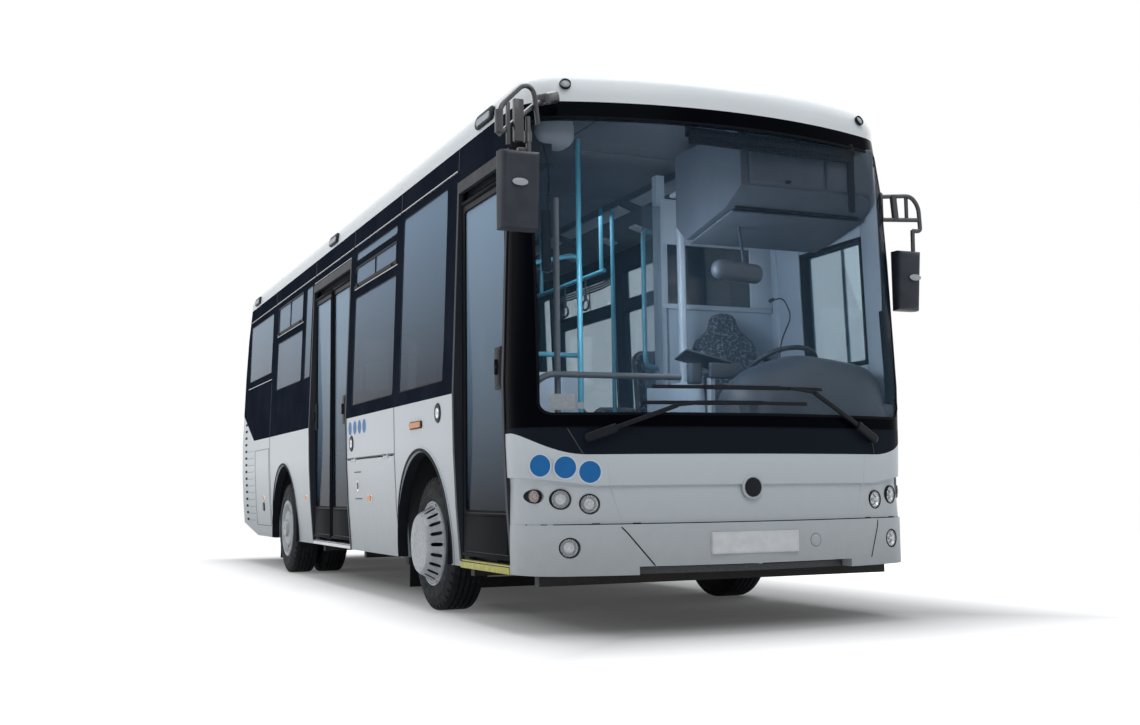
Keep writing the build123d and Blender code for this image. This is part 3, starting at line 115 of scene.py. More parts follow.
WHITE = (1, 1, 1, 1)
ROOM_LIGHT = (0.93, 0.96, 1.0, 1)
ROOM_STRENGTH = 0.32
room = bpy.data.worlds.new("white_room")
bpy.context.scene.world = room
room.use_nodes = True
room_tree = room.node_tree
rays = add_node(room_tree, "LightPath", {}).outputs
direct = add_node(room_tree, "Math", {0: rays["Is Camera Ray"], 1: rays["Is Transmission Ray"]},
                  operation="MAXIMUM")
seen = add_node(room_tree, "Math", {0: direct.outputs[0], 1: rays["Is Glossy Ray"]}, operation="MAXIMUM")
white = add_node(room_tree, "Background", {"Color": WHITE})
ambient = room_tree.nodes["Background"]
ambient.inputs["Color"].default_value = ROOM_LIGHT
ambient.inputs["Strength"].default_value = ROOM_STRENGTH
either = add_node(room_tree, "MixShader",
                  {"Fac": seen.outputs[0], 1: ambient.outputs[0], 2: white.outputs[0]})
room_tree.links.new(either.outputs[0], room_tree.nodes["World Output"].inputs["Surface"])


class Finish:
    """One material, whose colour, gloss and bump come from patterns in object space."""

    def __init__(self, name, colour=(0.8, 0.8, 0.8), roughness=0.5, metallic=0.0, **sockets):
        self.material = bpy.data.materials.new(name)
        self.material.use_nodes = True
        self.tree = self.material.node_tree
        self.shader = self.tree.nodes["Principled BSDF"]
        self.shader.inputs["Base Color"].default_value = (*colour, 1)
        self.shader.inputs["Roughness"].default_value = roughness
        self.shader.inputs["Metallic"].default_value = metallic
        for socket, value in sockets.items():
            self.shader.inputs[socket.replace("_", " ")].default_value = value
        self.place = self.node("TexCoord", {}).outputs["Object"]

    def node(self, kind, inputs, **settings):
        """A node of this material."""
        return add_node(self.tree, kind, inputs, **settings)

    def drive(self, socket, value):
        """Let a pattern drive one input of the shader."""
        self.tree.links.new(value, self.shader.inputs[socket])

    def speckle(self, scale, detail=3.0, stretch=(1, 1, 1), edges=None):
        """Soft noise from 0 to 1, with scale in cells a metre. Edges are the values brought to 0 and 1."""
        where = self.node("Mapping", {"Vector": self.place, "Scale": stretch}).outputs[0]
        noise = self.node("TexNoise", {"Vector": where, "Scale": scale, "Detail": detail}).outputs["Fac"]
        return self.span(noise, *edges) if edges else noise

    def span(self, value, low, high, start=0.0, end=1.0):
        """A value from low to high brought to run from start to end."""
        sockets = {"Value": value, "From Min": low, "From Max": high, "To Min": start, "To Max": end}
        return self.node("MapRange", sockets).outputs["Result"]

    def axis(self, name):
        """X, Y or Z in the bus's own frame."""
        return self.node("SeparateXYZ", {"Vector": self.place}).outputs[name]

    def sum(self, operation, first, second):
        """Two values put through one sum."""
        return self.node("Math", {0: first, 1: second}, operation=operation).outputs[0]

    def colours(self, share, first, second):
        """The base colour goes from the first to the second with share."""
        blend = self.node("Mix", {0: share, 6: (*first, 1), 7: (*second, 1)}, data_type="RGBA")
        self.drive("Base Color", blend.outputs[2])

    def gloss(self, share, first, second):
        """The roughness goes from the first value to the second with share."""
        self.drive("Roughness", self.span(share, 0, 1, first, second))

    def relief(self, height, depth):
        """Bumps as deep as depth where height goes from 0 to 1."""
        bump = self.node("Bump", {"Height": height, "Distance": depth, "Strength": 1.0})
        self.drive("Normal", bump.outputs["Normal"])

    def mottle(self, first, second, *noise, **edges):
        """Two tones mixed by a speckle."""
        self.colours(self.speckle(*noise, **edges), first, second)

    def wear(self, first, second, *noise, **edges):
        """A roughness that wanders between two values with a speckle."""
        self.gloss(self.speckle(*noise, **edges), first, second)

    def grain(self, depth, *noise):
        """A speckle as bumps."""
        self.relief(self.speckle(*noise), depth)

    def put_on(self, *names):
        """Give CAD nodes this finish."""
        for name in names:
            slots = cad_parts[name].data.materials
            slots.clear()
            slots.append(self.material)


FLOOR_RADIUS = 12.5
FADE_START = 4.5
FLOOR_LIFT = 0.55        # brings the open floor up to white
SHADOW_LIFT = 0.06       # the same under the bus, where the shadow stays
SHADOW_MIDDLE = (0.45, -0.10)
SHADOW_HALF = (1.10, 4.30)
SHADOW_EDGE = 1.6
PAINTED_SHADOW_CORE, PAINTED_SHADOW_RIM = -0.6, 0.9
floor_mesh = bmesh.new()
bmesh.ops.create_circle(floor_mesh, cap_ends=True, segments=96, radius=FLOOR_RADIUS)
floor_data = bpy.data.meshes.new("studio_floor")
floor_mesh.to_mesh(floor_data)
studio_floor = placed("studio_floor", floor_data)
pale = Finish("pale floor", (0.93, 0.93, 0.93), 0.9, Specular_IOR_Level=0.0)
floor_rays = pale.node("LightPath", {}).outputs
seen_floor = pale.sum("MAXIMUM", floor_rays["Is Camera Ray"], floor_rays["Is Glossy Ray"])
seen_floor = pale.sum("MAXIMUM", seen_floor, floor_rays["Is Transmission Ray"])
pale.shader.inputs["Emission Color"].default_value = WHITE
beyond = []
for axis, middle, half in zip("XY", SHADOW_MIDDLE, SHADOW_HALF):
    off_middle = pale.sum("ABSOLUTE", pale.sum("SUBTRACT", pale.axis(axis), middle), 0)
    beyond.append(pale.sum("SUBTRACT", off_middle, half))
off_bus = pale.sum("MAXIMUM", *beyond)
# painted shadow: the floor's colour goes from dark grey under the bus to pale beyond it
pale.colours(pale.span(off_bus, PAINTED_SHADOW_CORE, PAINTED_SHADOW_RIM, 0, 1), (0.34, 0.34, 0.34), (0.93, 0.93, 0.93))
# the glow that lifts the floor to white is weaker under and round the bus, which darkens it there as painted
# shade
lift = pale.span(off_bus, 0, SHADOW_EDGE, SHADOW_LIFT, FLOOR_LIFT)
pale.drive("Emission Strength", pale.sum("MULTIPLY", seen_floor, lift))
far_out = pale.node("VectorMath", {0: pale.place}, operation="LENGTH").outputs["Value"]
pale.drive("Alpha", pale.span(far_out, FADE_START, FLOOR_RADIUS, 1, 0))
floor_data.materials.append(pale.material)

# ---------------------------------------------------------------- white body panels
# Glass-fibre front and rear caps and aluminium side panels, all sprayed with one white lacquer. It has
# a fine orange-peel skin, and it turns darker towards the ground: patchy road dust and painted shade. The
# roof's white is painted lighter, as painted light on the top.
LACQUER_WHITE = (0.67, 0.725, 0.765)
DUST_AND_SHADE_GREY = (0.33, 0.355, 0.37)
PEEL_CELLS = 420
DUST_AND_SHADE_TOP = 1.05

lacquer = Finish("white lacquer", LACQUER_WHITE, 0.3, Specular_IOR_Level=0.15, Coat_Weight=0.08)
# painted shade with road dust: the lacquer turns a darker grey towards the ground, in patches
low_down = lacquer.span(lacquer.axis("Z"), 0.30, DUST_AND_SHADE_TOP, 1, 0)
patchy = lacquer.speckle(16, 5, edges=(0.25, 0.9))
dust_and_shade = lacquer.sum("MULTIPLY", low_down, lacquer.span(patchy, 0, 1, 0.74, 0.86))
lacquer.colours(dust_and_shade, LACQUER_WHITE, DUST_AND_SHADE_GREY)
lacquer.gloss(dust_and_shade, 0.28, 0.62)
lacquer.grain(0.00012, PEEL_CELLS, 1)
lacquer.put_on("skirt_right", "skirt_left", "rear_panel", "front_mask", "front_bumper", "engine_hatch",
               "service_flap")
# painted light: the roof gets a lighter white than the sides, as light falling on the top
roof_lit_white = Finish("roof lacquer painted lighter", (0.86, 0.91, 0.94), 0.3, Specular_IOR_Level=0.15, Coat_Weight=0.08)
roof_lit_white.mottle((0.84, 0.89, 0.92), (0.88, 0.93, 0.96), 3, 4, edges=(0.3, 0.7))
roof_lit_white.grain(0.00012, PEEL_CELLS, 1)
roof_lit_white.put_on("roof_shell")

# ---------------------------------------------------------------- panel joints
# The panels are bonded to the frame, and each joint between two of them is filled with a thin bead of
# dark sealant. A joint is drawn flat, as seen from one side, and dropped on to the panels under it.
PAINTED_NODES = ("skirt_right", "skirt_left", "window_band_right", "window_band_left", "roof_shell",
                 "front_mask", "front_bumper", "windscreen_surround", "windscreen", "rear_panel", "rear_band",
                 "rear_window", "engine_hatch", "service_flap", "windows_right", "windows_left")
OUTSIDE = 8.0            # farther out than any panel


def skin_of(*names):
    """The outside of some CAD nodes as one search tree."""
    joined = bmesh.new()
    for name in names:
        joined.from_mesh(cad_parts[name].data)
    tree = BVHTree.FromBMesh(joined)
    joined.free()
    return tree


BODY_SKIN = skin_of(*PAINTED_NODES)
FACES = {
    "right": Vector((-1, 0, 0)),
    "left": Vector((1, 0, 0)),
    "front": Vector((0, -1, 0)),
    "rear": Vector((0, 1, 0)),
    "top": Vector((0, 0, 1)),
}


def flat_point(face, across, height, proud=0.0):
    """A point drawn on one side of the bus: across and height as seen there, and how far it stands out."""
    outward = FACES[face]
    if face in ("right", "left"):
        return Vector((outward.x * proud, across, height))
    if face == "top":
        return Vector((across, height, proud))
    return Vector((across, outward.y * proud, height))


def landing(face, across, height, skin=None):
    """Where a drawn point lands on the panels, and the way that the panel faces there."""
    outward = FACES[face]
    start = flat_point(face, across, height, OUTSIDE)
    place, normal, _, _ = (skin or BODY_SKIN).ray_cast(start, -outward)
    if place is None:
        raise ValueError(f"nothing lies under {face} {across} {height}")
    if normal.dot(outward) < 0:
        normal = -normal
    return place, normal


def show(name, mesh, finishes, body, smooth=40):
    """Make a finished piece from its mesh, and let it ride on a body of the bus."""
    data = bpy.data.meshes.new(name)
    if isinstance(mesh, bmesh.types.BMesh):
        mesh.to_mesh(data)
        mesh.free()
    else:
        data = mesh
        data.name = name
    piece = placed(name, data)
    for finish in finishes if isinstance(finishes, (tuple, list)) else (finishes,):
        data.materials.append(finish.material)
    if smooth:
        data.shade_smooth()
        data.set_sharp_from_angle(angle=radians(smooth))
    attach(piece, body)
    return piece


def tube_mesh(lines, radius, sides=8, closed=False):
    """Round tubes along lines of points, as one mesh with closed ends."""
    curve = bpy.data.curves.new("tube", "CURVE")
    curve.dimensions = "3D"
    curve.bevel_depth = radius
    curve.bevel_resolution = max(sides // 2 - 2, 0)
    curve.use_fill_caps = True
    for line in lines:
        spline = curve.splines.new("POLY")
        spline.points.add(len(line) - 1)
        for point, place in zip(spline.points, line):
            point.co = (*place, 1)
        spline.use_cyclic_u = closed
    holder = bpy.data.objects.new("tube", curve)
    mesh = bpy.data.meshes.new_from_object(holder)
    bpy.data.objects.remove(holder)
    return mesh


def stretch_between(start, end, step=0.05):
    """Points along a straight line on a drawing, both ends taken in."""
    count = max(int(hypot(end[0] - start[0], end[1] - start[1]) / step), 1)
    return [(start[0] + (end[0] - start[0]) * n / count, start[1] + (end[1] - start[1]) * n / count)
            for n in range(count + 1)]


def walked(corners, step):
    """Points along a drawn line through corners."""
    flat = [corners[0]]
    for start, end in zip(corners, corners[1:]):
        flat += stretch_between(start, end, step)[1:]
    return flat


def laid_line(face, corners, lift=0.0, step=0.05):
    """A line through corners on a drawing, dropped on the panels."""
    landed = [landing(face, *point) for point in walked(corners, step)]
    return [place + normal * lift for place, normal in landed]


SEALANT_RADIUS = 0.0028
MASK_JOINT_RADIUS = 0.0016
sealant = Finish("dark sealant", (0.035, 0.037, 0.04), 0.6)
sealant.mottle((0.03, 0.032, 0.035), (0.05, 0.052, 0.055), 60)
WAIST_Z = 1.307
SKIRT_Z = 0.308
CANTRAIL_Z = 2.770
DRIP_Z = 2.635
PILLAR_YS = (-1.976, -0.657, 0.740, 2.595)     # joints between the window units
side_joints = [((y, DRIP_Z), (y, CANTRAIL_Z - 0.004)) for y in (-3.206, *PILLAR_YS)]
side_joints += [((-1.930, SKIRT_Z + 0.004), (-1.930, WAIST_Z)), ((-0.588, 0.998), (-1.925, 0.998))]
side_joints += [((2.686, 0.32), (2.686, 1.86)), ((2.74, 1.195), (3.54, 1.195)), ((2.74, 1.195), (2.74, 0.42))]
side_joints += [((2.74, 0.42), (3.54, 0.42)), ((3.54, 0.42), (3.54, 1.195))]
PORTALS = ((-4.060, -3.200), (-0.580, 0.800))     # front and rear jamb of each doorway
DOOR_TOP_Z = 2.57


def clear_of_doors(face, joint):
    """False where a joint would cross a doorway."""
    ends = sorted(point[0] for point in joint)
    over = joint[0][1] > DOOR_TOP_Z
    return face == "left" or over or all(ends[1] < low or ends[0] > high for low, high in PORTALS)


front_joints = [
    ((-0.790, 0.900), (-0.770, 0.762), (-0.719, 0.590)),
    ((0.790, 0.900), (0.770, 0.762), (0.719, 0.590)),
]
rear_joints = [((-0.95, 1.30), (0.95, 1.30)), ((-0.95, 0.56), (-0.95, 1.30)), ((0.95, 0.56), (0.95, 1.30))]
lines = [laid_line(face, joint) for face in ("right", "left") for joint in side_joints
         if clear_of_doors(face, joint)]
lines += [laid_line("rear", joint) for joint in rear_joints]
show("panel_joints", tube_mesh(lines, SEALANT_RADIUS, 6), sealant, "body")
lines = [laid_line("front", joint) for joint in front_joints]
show("mask_joints", tube_mesh(lines, MASK_JOINT_RADIUS, 6), lacquer, "body")

# ---------------------------------------------------------------- black band and side glass
# Toughened glass units bonded flush to the side pillars, printed black on the inside round each pane.
# The door side's panes are dark, lightened towards the top by a painted sky reflection; the far side and the
# rear let the white room shine through.
BAND_BLACK = (0.014, 0.019, 0.031)
band_glass = Finish("printed black glass", BAND_BLACK, 0.25, Specular_IOR_Level=0.0)
band_glass.mottle(BAND_BLACK, (0.020, 0.026, 0.040), 3, 4, edges=(0.4, 0.7))
band_glass.wear(0.22, 0.34, 14, 4, edges=(0.35, 0.7))
band_glass.put_on("window_band_right", "window_band_left", "rear_band")

tinted = Finish("tinted side glass with painted sky", (0.10, 0.16, 0.25), 0.02, Alpha=0.84, Specular_IOR_Level=0.03)
# painted sky reflection: the tint goes from dark at the foot to pale blue at the top
tinted.colours(tinted.span(tinted.axis("Z"), 1.42, 2.50), (0.022, 0.040, 0.072), (0.200, 0.320, 0.470))
tinted.wear(0.0, 0.05, 5, 5, edges=(0.4, 0.75))
tinted.put_on("windows_right")
sky_glass = Finish("clear tinted glass with painted sky", (0.22, 0.42, 0.56), 0.02, Alpha=0.62, Transmission_Weight=0.72)
# painted sky reflection over the glass's tint: the light blue panes are a little lighter towards the top
sky_glass.colours(sky_glass.span(sky_glass.axis("Z"), 1.4, 2.5), (0.19, 0.38, 0.52), (0.24, 0.44, 0.58))
sky_glass.wear(0.0, 0.04, 5, 5, edges=(0.4, 0.75))
sky_glass.put_on("windows_left", "rear_window")

# ---------------------------------------------------------------- tyres
# Radial truck tyres with four straight grooves, a ribbed shoulder and moulded rings on the side wall.
# Singles steer at the front and twins carry the rear. The rubber is dusty on the side wall.
TYRE_RADIUS = 0.416
TYRE_WIDTH = 0.245
BEAD_RADIUS = 0.248
FRONT_AXLE_Y = -2.520
REAR_AXLE_Y = 1.970
FRONT_FACE_X = 1.120
REAR_FACE_X = 1.158
TWIN_GAP = 0.028
TYRE_STEPS = 120
GROOVE_XS = (0.018, 0.054)
GROOVE_WIDTH = 0.009
GROOVE_DEPTH = 0.011
SHOULDER = (0.385, 0.412)    # radii between which the shoulder is ribbed

rubber = Finish("tyre rubber", (0.02, 0.021, 0.024), 0.75, Specular_IOR_Level=0.12)
dust = rubber.speckle(24, 5, edges=(0.38, 0.68))
rubber.colours(dust, (0.009, 0.010, 0.013), (0.026, 0.028, 0.032))
rubber.gloss(dust, 0.55, 0.9)
rubber.grain(0.0006, 220, 2)


def turned_about_axle(mesh, profile, steps):
    """Spin a profile of (across, radius) points about the X axis into a closed ring."""
    points = [mesh.verts.new((x, 0, radius)) for x, radius in profile]
    edges = [mesh.edges.new(pair) for pair in zip(points, points[1:])]
    bmesh.ops.spin(mesh, geom=points + edges, cent=(0, 0, 0), axis=(1, 0, 0), angle=2 * pi,
                   steps=steps, use_merge=True, use_normal_flip=False)
    bmesh.ops.remove_doubles(mesh, verts=mesh.verts, dist=0.00002)
    bmesh.ops.recalc_face_normals(mesh, faces=mesh.faces)


def as_data(mesh):
    """A bmesh as mesh data."""
    data = bpy.data.meshes.new("part")
    mesh.to_mesh(data)
    mesh.free()
    return data


def merge(mesh, made):
    """Add a finished bmesh to another one."""
    data = as_data(made)
    mesh.from_mesh(data)
    bpy.data.meshes.remove(data)


def half_tread():
    """Points of the outer half of a tyre, from the middle of the tread to the bead."""
    points = [(0.0, TYRE_RADIUS)]
    for x in GROOVE_XS:
        points += [(x - GROOVE_WIDTH / 2, TYRE_RADIUS), (x - GROOVE_WIDTH / 3, TYRE_RADIUS - GROOVE_DEPTH)]
        points += [(x + GROOVE_WIDTH / 3, TYRE_RADIUS - GROOVE_DEPTH), (x + GROOVE_WIDTH / 2, TYRE_RADIUS)]
    half = TYRE_WIDTH / 2
    points += [(half - 0.038, TYRE_RADIUS - 0.001), (half - 0.026, TYRE_RADIUS - 0.006)]
    points += [(half - 0.019, TYRE_RADIUS - 0.018), (half - 0.016, TYRE_RADIUS - 0.032)]
    points += [(half - 0.011, TYRE_RADIUS - 0.044), (half - 0.006, 0.352), (half - 0.002, 0.345)]
    points += [(half - 0.0015, 0.332), (half - 0.003, 0.3285), (half - 0.002, 0.325), (half - 0.003, 0.300)]
    points += [(half - 0.006, 0.2965), (half - 0.005, 0.290), (half - 0.010, 0.274), (half - 0.020, 0.258)]
    points += [(half - 0.026, BEAD_RADIUS)]
    return points


def tyre(mesh, middle_x, axle_y):
    """One tyre with its middle at middle_x on an axle."""
    half = half_tread()
    whole = [(-x, radius) for x, radius in reversed(half[1:])] + half
    made = bmesh.new()
    turned_about_axle(made, whole + whole[:1], TYRE_STEPS)
    inner, outer = SHOULDER
    shoulder = [face for face in made.faces
                if inner < hypot(*face.calc_center_median().yz) < outer and abs(face.normal.x) > 0.25]
    every_third = [face for face in shoulder
                   if int(round(atan2(*face.calc_center_median().yz) / (2 * pi) * TYRE_STEPS)) % 3 == 0]
    bmesh.ops.inset_individual(made, faces=every_third, thickness=0.0025, depth=-0.004)
    made.transform(Matrix.Translation((middle_x, axle_y, TYRE_RADIUS)))
    merge(mesh, made)


for side, hand in (("right", -1), ("left", 1)):
    steered = bmesh.new()
    tyre(steered, hand * (FRONT_FACE_X - TYRE_WIDTH / 2), FRONT_AXLE_Y)
    piece = show(f"steered_tyre_{side}", steered, rubber, f"front_wheel_{side}", smooth=35)
    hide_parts(f"front_tyre_{side}")
    twins = bmesh.new()
    for place in (0, 1):
        tyre(twins, hand * (REAR_FACE_X - TYRE_WIDTH / 2 - place * (TYRE_WIDTH + TWIN_GAP)), REAR_AXLE_Y)
    piece = show(f"twin_tyres_{side}", twins, rubber, f"rear_wheels_{side}", smooth=35)
    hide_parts(f"rear_tyres_{side}")

# ---------------------------------------------------------------- wheels and wheel trims
# Pressed steel wheels in silver enamel. The front ones wear a deep domed trim with a ring of slots,
# the rear ones a shallow trim with a ring of small holes and a cap over the hub.
TRIM_TIP_X = 0.082       # how far the flat middle stands out of the tyre's face
TRIM_SLOTS = 20
TRIM_CLIPS = 5
SLOT = (0.20, 0.0230, 0.042)
RIM_STEPS = 120

enamel = Finish("silver wheel enamel", (0.30, 0.32, 0.34), 0.42, 0.3, Specular_IOR_Level=0.25)
worn = enamel.speckle(40, 5, edges=(0.45, 0.75))
enamel.colours(worn, (0.36, 0.385, 0.41), (0.29, 0.31, 0.33))
enamel.gloss(worn, 0.34, 0.6)
enamel.grain(0.0002, 260, 2)
wheel_shade = Finish("dark wheel steel", (0.03, 0.031, 0.034), 0.6, 0.3)
wheel_shade.mottle((0.02, 0.021, 0.024), (0.045, 0.046, 0.05), 50)


def finished(blank, *tools):
    """The mesh an object has after its modifiers. The object and its tools are cleared away."""
    result = bpy.data.meshes.new_from_object(blank.evaluated_get(bpy.context.evaluated_depsgraph_get()))
    for holder in (blank, *tools):
        bpy.data.objects.remove(holder)
    return result


def carved(data, cutter):
    """Mesh data with the cutter's room taken out of it."""
    blank, tool = placed("blank", data), placed("tool", cutter)
    cut = blank.modifiers.new("cut", "BOOLEAN")
    cut.object = tool
    cut.operation = "DIFFERENCE"
    cut.solver = "EXACT"
    return finished(blank, tool)


def block(size):
    """A plain block about the origin."""
    made = bmesh.new()
    bmesh.ops.create_cube(made, size=1)
    bmesh.ops.scale(made, vec=size, verts=made.verts)
    return made


def rounded(mesh, edges, radius, segments):
    """Round some edges of a mesh."""
    bmesh.ops.bevel(mesh, geom=edges, offset=radius, affect="EDGES", segments=segments, profile=0.5,
                    material=-1)


def turned(degrees, axis):
    """A turn about X, Y or Z."""
    return Matrix.Rotation(radians(degrees), 4, axis)


def rounded_bar(mesh, size, place, rounding, segments=4, turn=None):
    """A bar with rounded edges, added to a mesh at a place."""
    made = block(size)
    rounded(made, made.edges[:], rounding, segments)
    made.transform(Matrix.Translation(place) @ (turn or Matrix.Identity(4)))
    merge(mesh, made)


def bars(*rows):
    """A mesh of rounded bars, from rows of size, place, rounding, segments and turn."""
    mesh = bmesh.new()
    for row in rows:
        rounded_bar(mesh, *row)
    return mesh


def ring_of_bars(count, radius, size, rounding, middle):
    """Rounded bars set in a ring about a wheel's middle, each with its length along the axle."""
    ring = bmesh.new()
    for number in range(count):
        spoke = Matrix.Rotation(2 * pi * number / count, 4, "X")
        around = Matrix.Translation(middle) @ spoke @ Matrix.Translation((0, 0, radius))
        rounded_bar(ring, size, (0, 0, 0), rounding, 3, around)
    return as_data(ring)


def spun_plate(profile, hand, thickness, middle):
    """A pressed round plate: its outer line spun about the axle, then given its thickness inwards."""
    made = bmesh.new()
    turned_about_axle(made, [(hand * x, radius) for x, radius in profile], RIM_STEPS)
    outward = [face for face in made.faces if abs(face.normal.x) > 0.5]
    if sum(face.normal.x * hand * face.calc_area() for face in outward) < 0:
        bmesh.ops.reverse_faces(made, faces=made.faces)
    bmesh.ops.solidify(made, geom=made.faces[:], thickness=thickness)
    made.transform(Matrix.Translation(middle))
    return as_data(made)


FRONT_TRIM = ((0.012, 0.0), (0.0145, 0.085), (0.0125, 0.088), (0.0155, 0.091), (0.0165, 0.160),
              (0.0135, 0.176), (0.004, 0.186), (-0.020, 0.200), (-0.045, 0.214), (-0.066, 0.227),
              (-0.074, 0.236), (-0.074, 0.243), (-0.079, 0.245), (-0.079, 0.252), (-0.074, 0.254),
              (-0.074, 0.260), (-0.080, 0.2625), (-0.092, 0.2625))
REAR_TRIM = ((0.030, 0.012), (0.030, 0.066), (0.026, 0.074), (0.006, 0.080), (0.002, 0.088), (0.000, 0.150),
             (-0.004, 0.158), (-0.022, 0.166), (-0.026, 0.174), (-0.024, 0.214), (-0.016, 0.224),
             (0.004, 0.232), (0.008, 0.238), (0.008, 0.246), (0.004, 0.250), (0.004, 0.258),
             (-0.002, 0.2605), (-0.012, 0.2605))
TRIM_SHEET = -0.0025     # thickness of the trims, inwards
SHELL_INSET = 0.020      # from the tyre's face to the edge of the pressed wheel
SHELL_STEPS = 72
FRONT_LIP = ((0.0, 0.262), (0.006, 0.262), (0.004, 0.238))
REAR_LIP = ((0.0, 0.258), (0.002, 0.258), (0.0, 0.238))


def pressed_wheel(mesh, hand, face_x, lip):
    """One pressed wheel behind a tyre's outer face, with its outer lip as given."""
    near, far = face_x - SHELL_INSET, face_x - TYRE_WIDTH + SHELL_INSET
    profile = [(far - 0.004, 0.262), (far, 0.262), (far + 0.006, 0.246), (near - 0.006, 0.246)]
    profile += [(near + x, radius) for x, radius in lip]
    profile += [(near - 0.05, 0.226), (near - 0.066, 0.050), (near - 0.076, 0.050), (near - 0.062, 0.226)]
    profile += [(far + 0.002, 0.236), (far - 0.004, 0.262)]
    made = bmesh.new()
    turned_about_axle(made, [(hand * x, radius) for x, radius in profile], SHELL_STEPS)
    merge(mesh, made)


for side, hand in (("right", -1), ("left", 1)):
    middle = Vector((hand * (FRONT_FACE_X + TRIM_TIP_X - 0.0165), FRONT_AXLE_Y, TYRE_RADIUS))
    slots = ring_of_bars(TRIM_SLOTS, 0.212, SLOT, SLOT[1] / 2 - 0.0004, middle)
    wheel = bmesh.new()
    wheel.from_mesh(carved(spun_plate(FRONT_TRIM, hand, TRIM_SHEET, middle), slots))
    for number in range(TRIM_CLIPS):
        spoke = Matrix.Rotation(2 * pi * number / TRIM_CLIPS + 0.3, 4, "X")
        clip = Matrix.Translation(middle) @ spoke @ Matrix.Translation((-hand * 0.0725, 0, 0.2485))
        rounded_bar(wheel, (0.016, 0.026, 0.010), (0, 0, 0), 0.002, 2, clip)
    piece = show(f"front_trim_{side}", wheel, enamel, f"front_wheel_{side}", smooth=30)
    barrel = bmesh.new()
    pressed_wheel(barrel, hand, FRONT_FACE_X, FRONT_LIP)
    barrel.transform(Matrix.Translation((0, FRONT_AXLE_Y, TYRE_RADIUS)))
    steel = show(f"front_steel_{side}", barrel, wheel_shade, f"front_wheel_{side}", smooth=30)
    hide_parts(f"front_rim_{side}")

    middle = Vector((hand * (REAR_FACE_X - 0.012), REAR_AXLE_Y, TYRE_RADIUS))
    holes = ring_of_bars(14, 0.195, (0.10, 0.028, 0.022), 0.0100, middle)
    nuts = ring_of_bars(10, 0.128, (0.004, 0.016, 0.016), 0.0019, middle + Vector((hand * 0.001, 0, 0)))
    wheel = bmesh.new()
    wheel.from_mesh(carved(spun_plate(REAR_TRIM, hand, TRIM_SHEET, middle), holes))
    wheel.from_mesh(nuts)
    piece = show(f"rear_trim_{side}", wheel, enamel, f"rear_wheels_{side}", smooth=30)
    barrels = bmesh.new()
    for place in (0, 1):
        pressed_wheel(barrels, hand, REAR_FACE_X - place * (TYRE_WIDTH + TWIN_GAP), REAR_LIP)
    barrels.transform(Matrix.Translation((0, REAR_AXLE_Y, TYRE_RADIUS)))
    steel = show(f"rear_steel_{side}", barrels, wheel_shade, f"rear_wheels_{side}", smooth=30)
    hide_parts(f"rear_rims_{side}")

# ---------------------------------------------------------------- outside mirrors
# Deep moulded mirror heads in dark grain plastic, each hung on a bent steel tube bracket with
# a thick spring joint. The front of each head carries one plain pale oval.
grained_black = Finish("grained dark plastic", (0.032, 0.040, 0.052), 0.5, Specular_IOR_Level=0.25)
grained_black.mottle((0.026, 0.032, 0.042), (0.042, 0.050, 0.064), 7, 4, edges=(0.35, 0.7))
grained_black.grain(0.00025, 900, 2)
tube_paint = Finish("dark tube enamel", (0.03, 0.033, 0.04), 0.38, Coat_Weight=0.25)
tube_paint.mottle((0.025, 0.028, 0.034), (0.045, 0.049, 0.056), 30)
mirror_glass = Finish("mirror glass", (0.78, 0.80, 0.82), 0.03, 1.0)
mirror_glass.wear(0.02, 0.08, 8, edges=(0.4, 0.8))
pale_oval = Finish("pale plastic oval", (0.42, 0.45, 0.49), 0.35)
pale_oval.wear(0.28, 0.45, 60)


def smooth_path(points, radius=0.05, steps=6):
    """Points of a path whose corners are rounded."""
    path = [Vector(points[0])]
    for before, corner, after in zip(points, points[1:], points[2:]):
        before, corner, after = Vector(before), Vector(corner), Vector(after)
        reach = min(radius, (corner - before).length * 0.48, (after - corner).length * 0.48)
        start = corner + (before - corner).normalized() * reach
        end = corner + (after - corner).normalized() * reach
        for step in range(steps + 1):
            share = step / steps
            path.append(start.lerp(corner, share).lerp(corner.lerp(end, share), share))
    path.append(Vector(points[-1]))
    return path


def edges_along(mesh, axis):
    """The edges of a mesh that run along the x, y or z axis."""
    return [edge for edge in mesh.edges
            if abs(getattr((edge.verts[0].co - edge.verts[1].co).normalized(), axis)) > 0.9]


def mirror_head(middle, size, oval_at):
    """A mirror head: a deep rounded shell with a sunk glass at the back and a notched lower front."""
    made = block(size)
    front = [edge for edge in made.edges if all(v.co.y < 0 for v in edge.verts)]
    rounded(made, list(set(front + edges_along(made, "z"))), 0.034, 5)
    for point in made.verts:
        depth = 0.5 - point.co.y / size[1]
        point.co.x *= 1 - 0.10 * depth
        if point.co.z < -size[2] * 0.3 and point.co.y < 0:
            point.co.y += 0.030
    back = max(made.faces, key=lambda face: face.normal.y * face.calc_area())
    bmesh.ops.inset_region(made, faces=[back], thickness=0.012, depth=0.0)
    bmesh.ops.inset_region(made, faces=[back], thickness=0.003, depth=-0.010)
    back.material_index = 1
    made.transform(Matrix.Translation(middle))
    oval = bmesh.new()
    bmesh.ops.create_uvsphere(oval, u_segments=32, v_segments=16, radius=1)
    bmesh.ops.scale(oval, vec=OVAL_HALF, verts=oval.verts)
    oval.transform(Matrix.Translation(oval_at))
    for face in oval.faces:
        face.material_index = 2
    merge(made, oval)
    return made


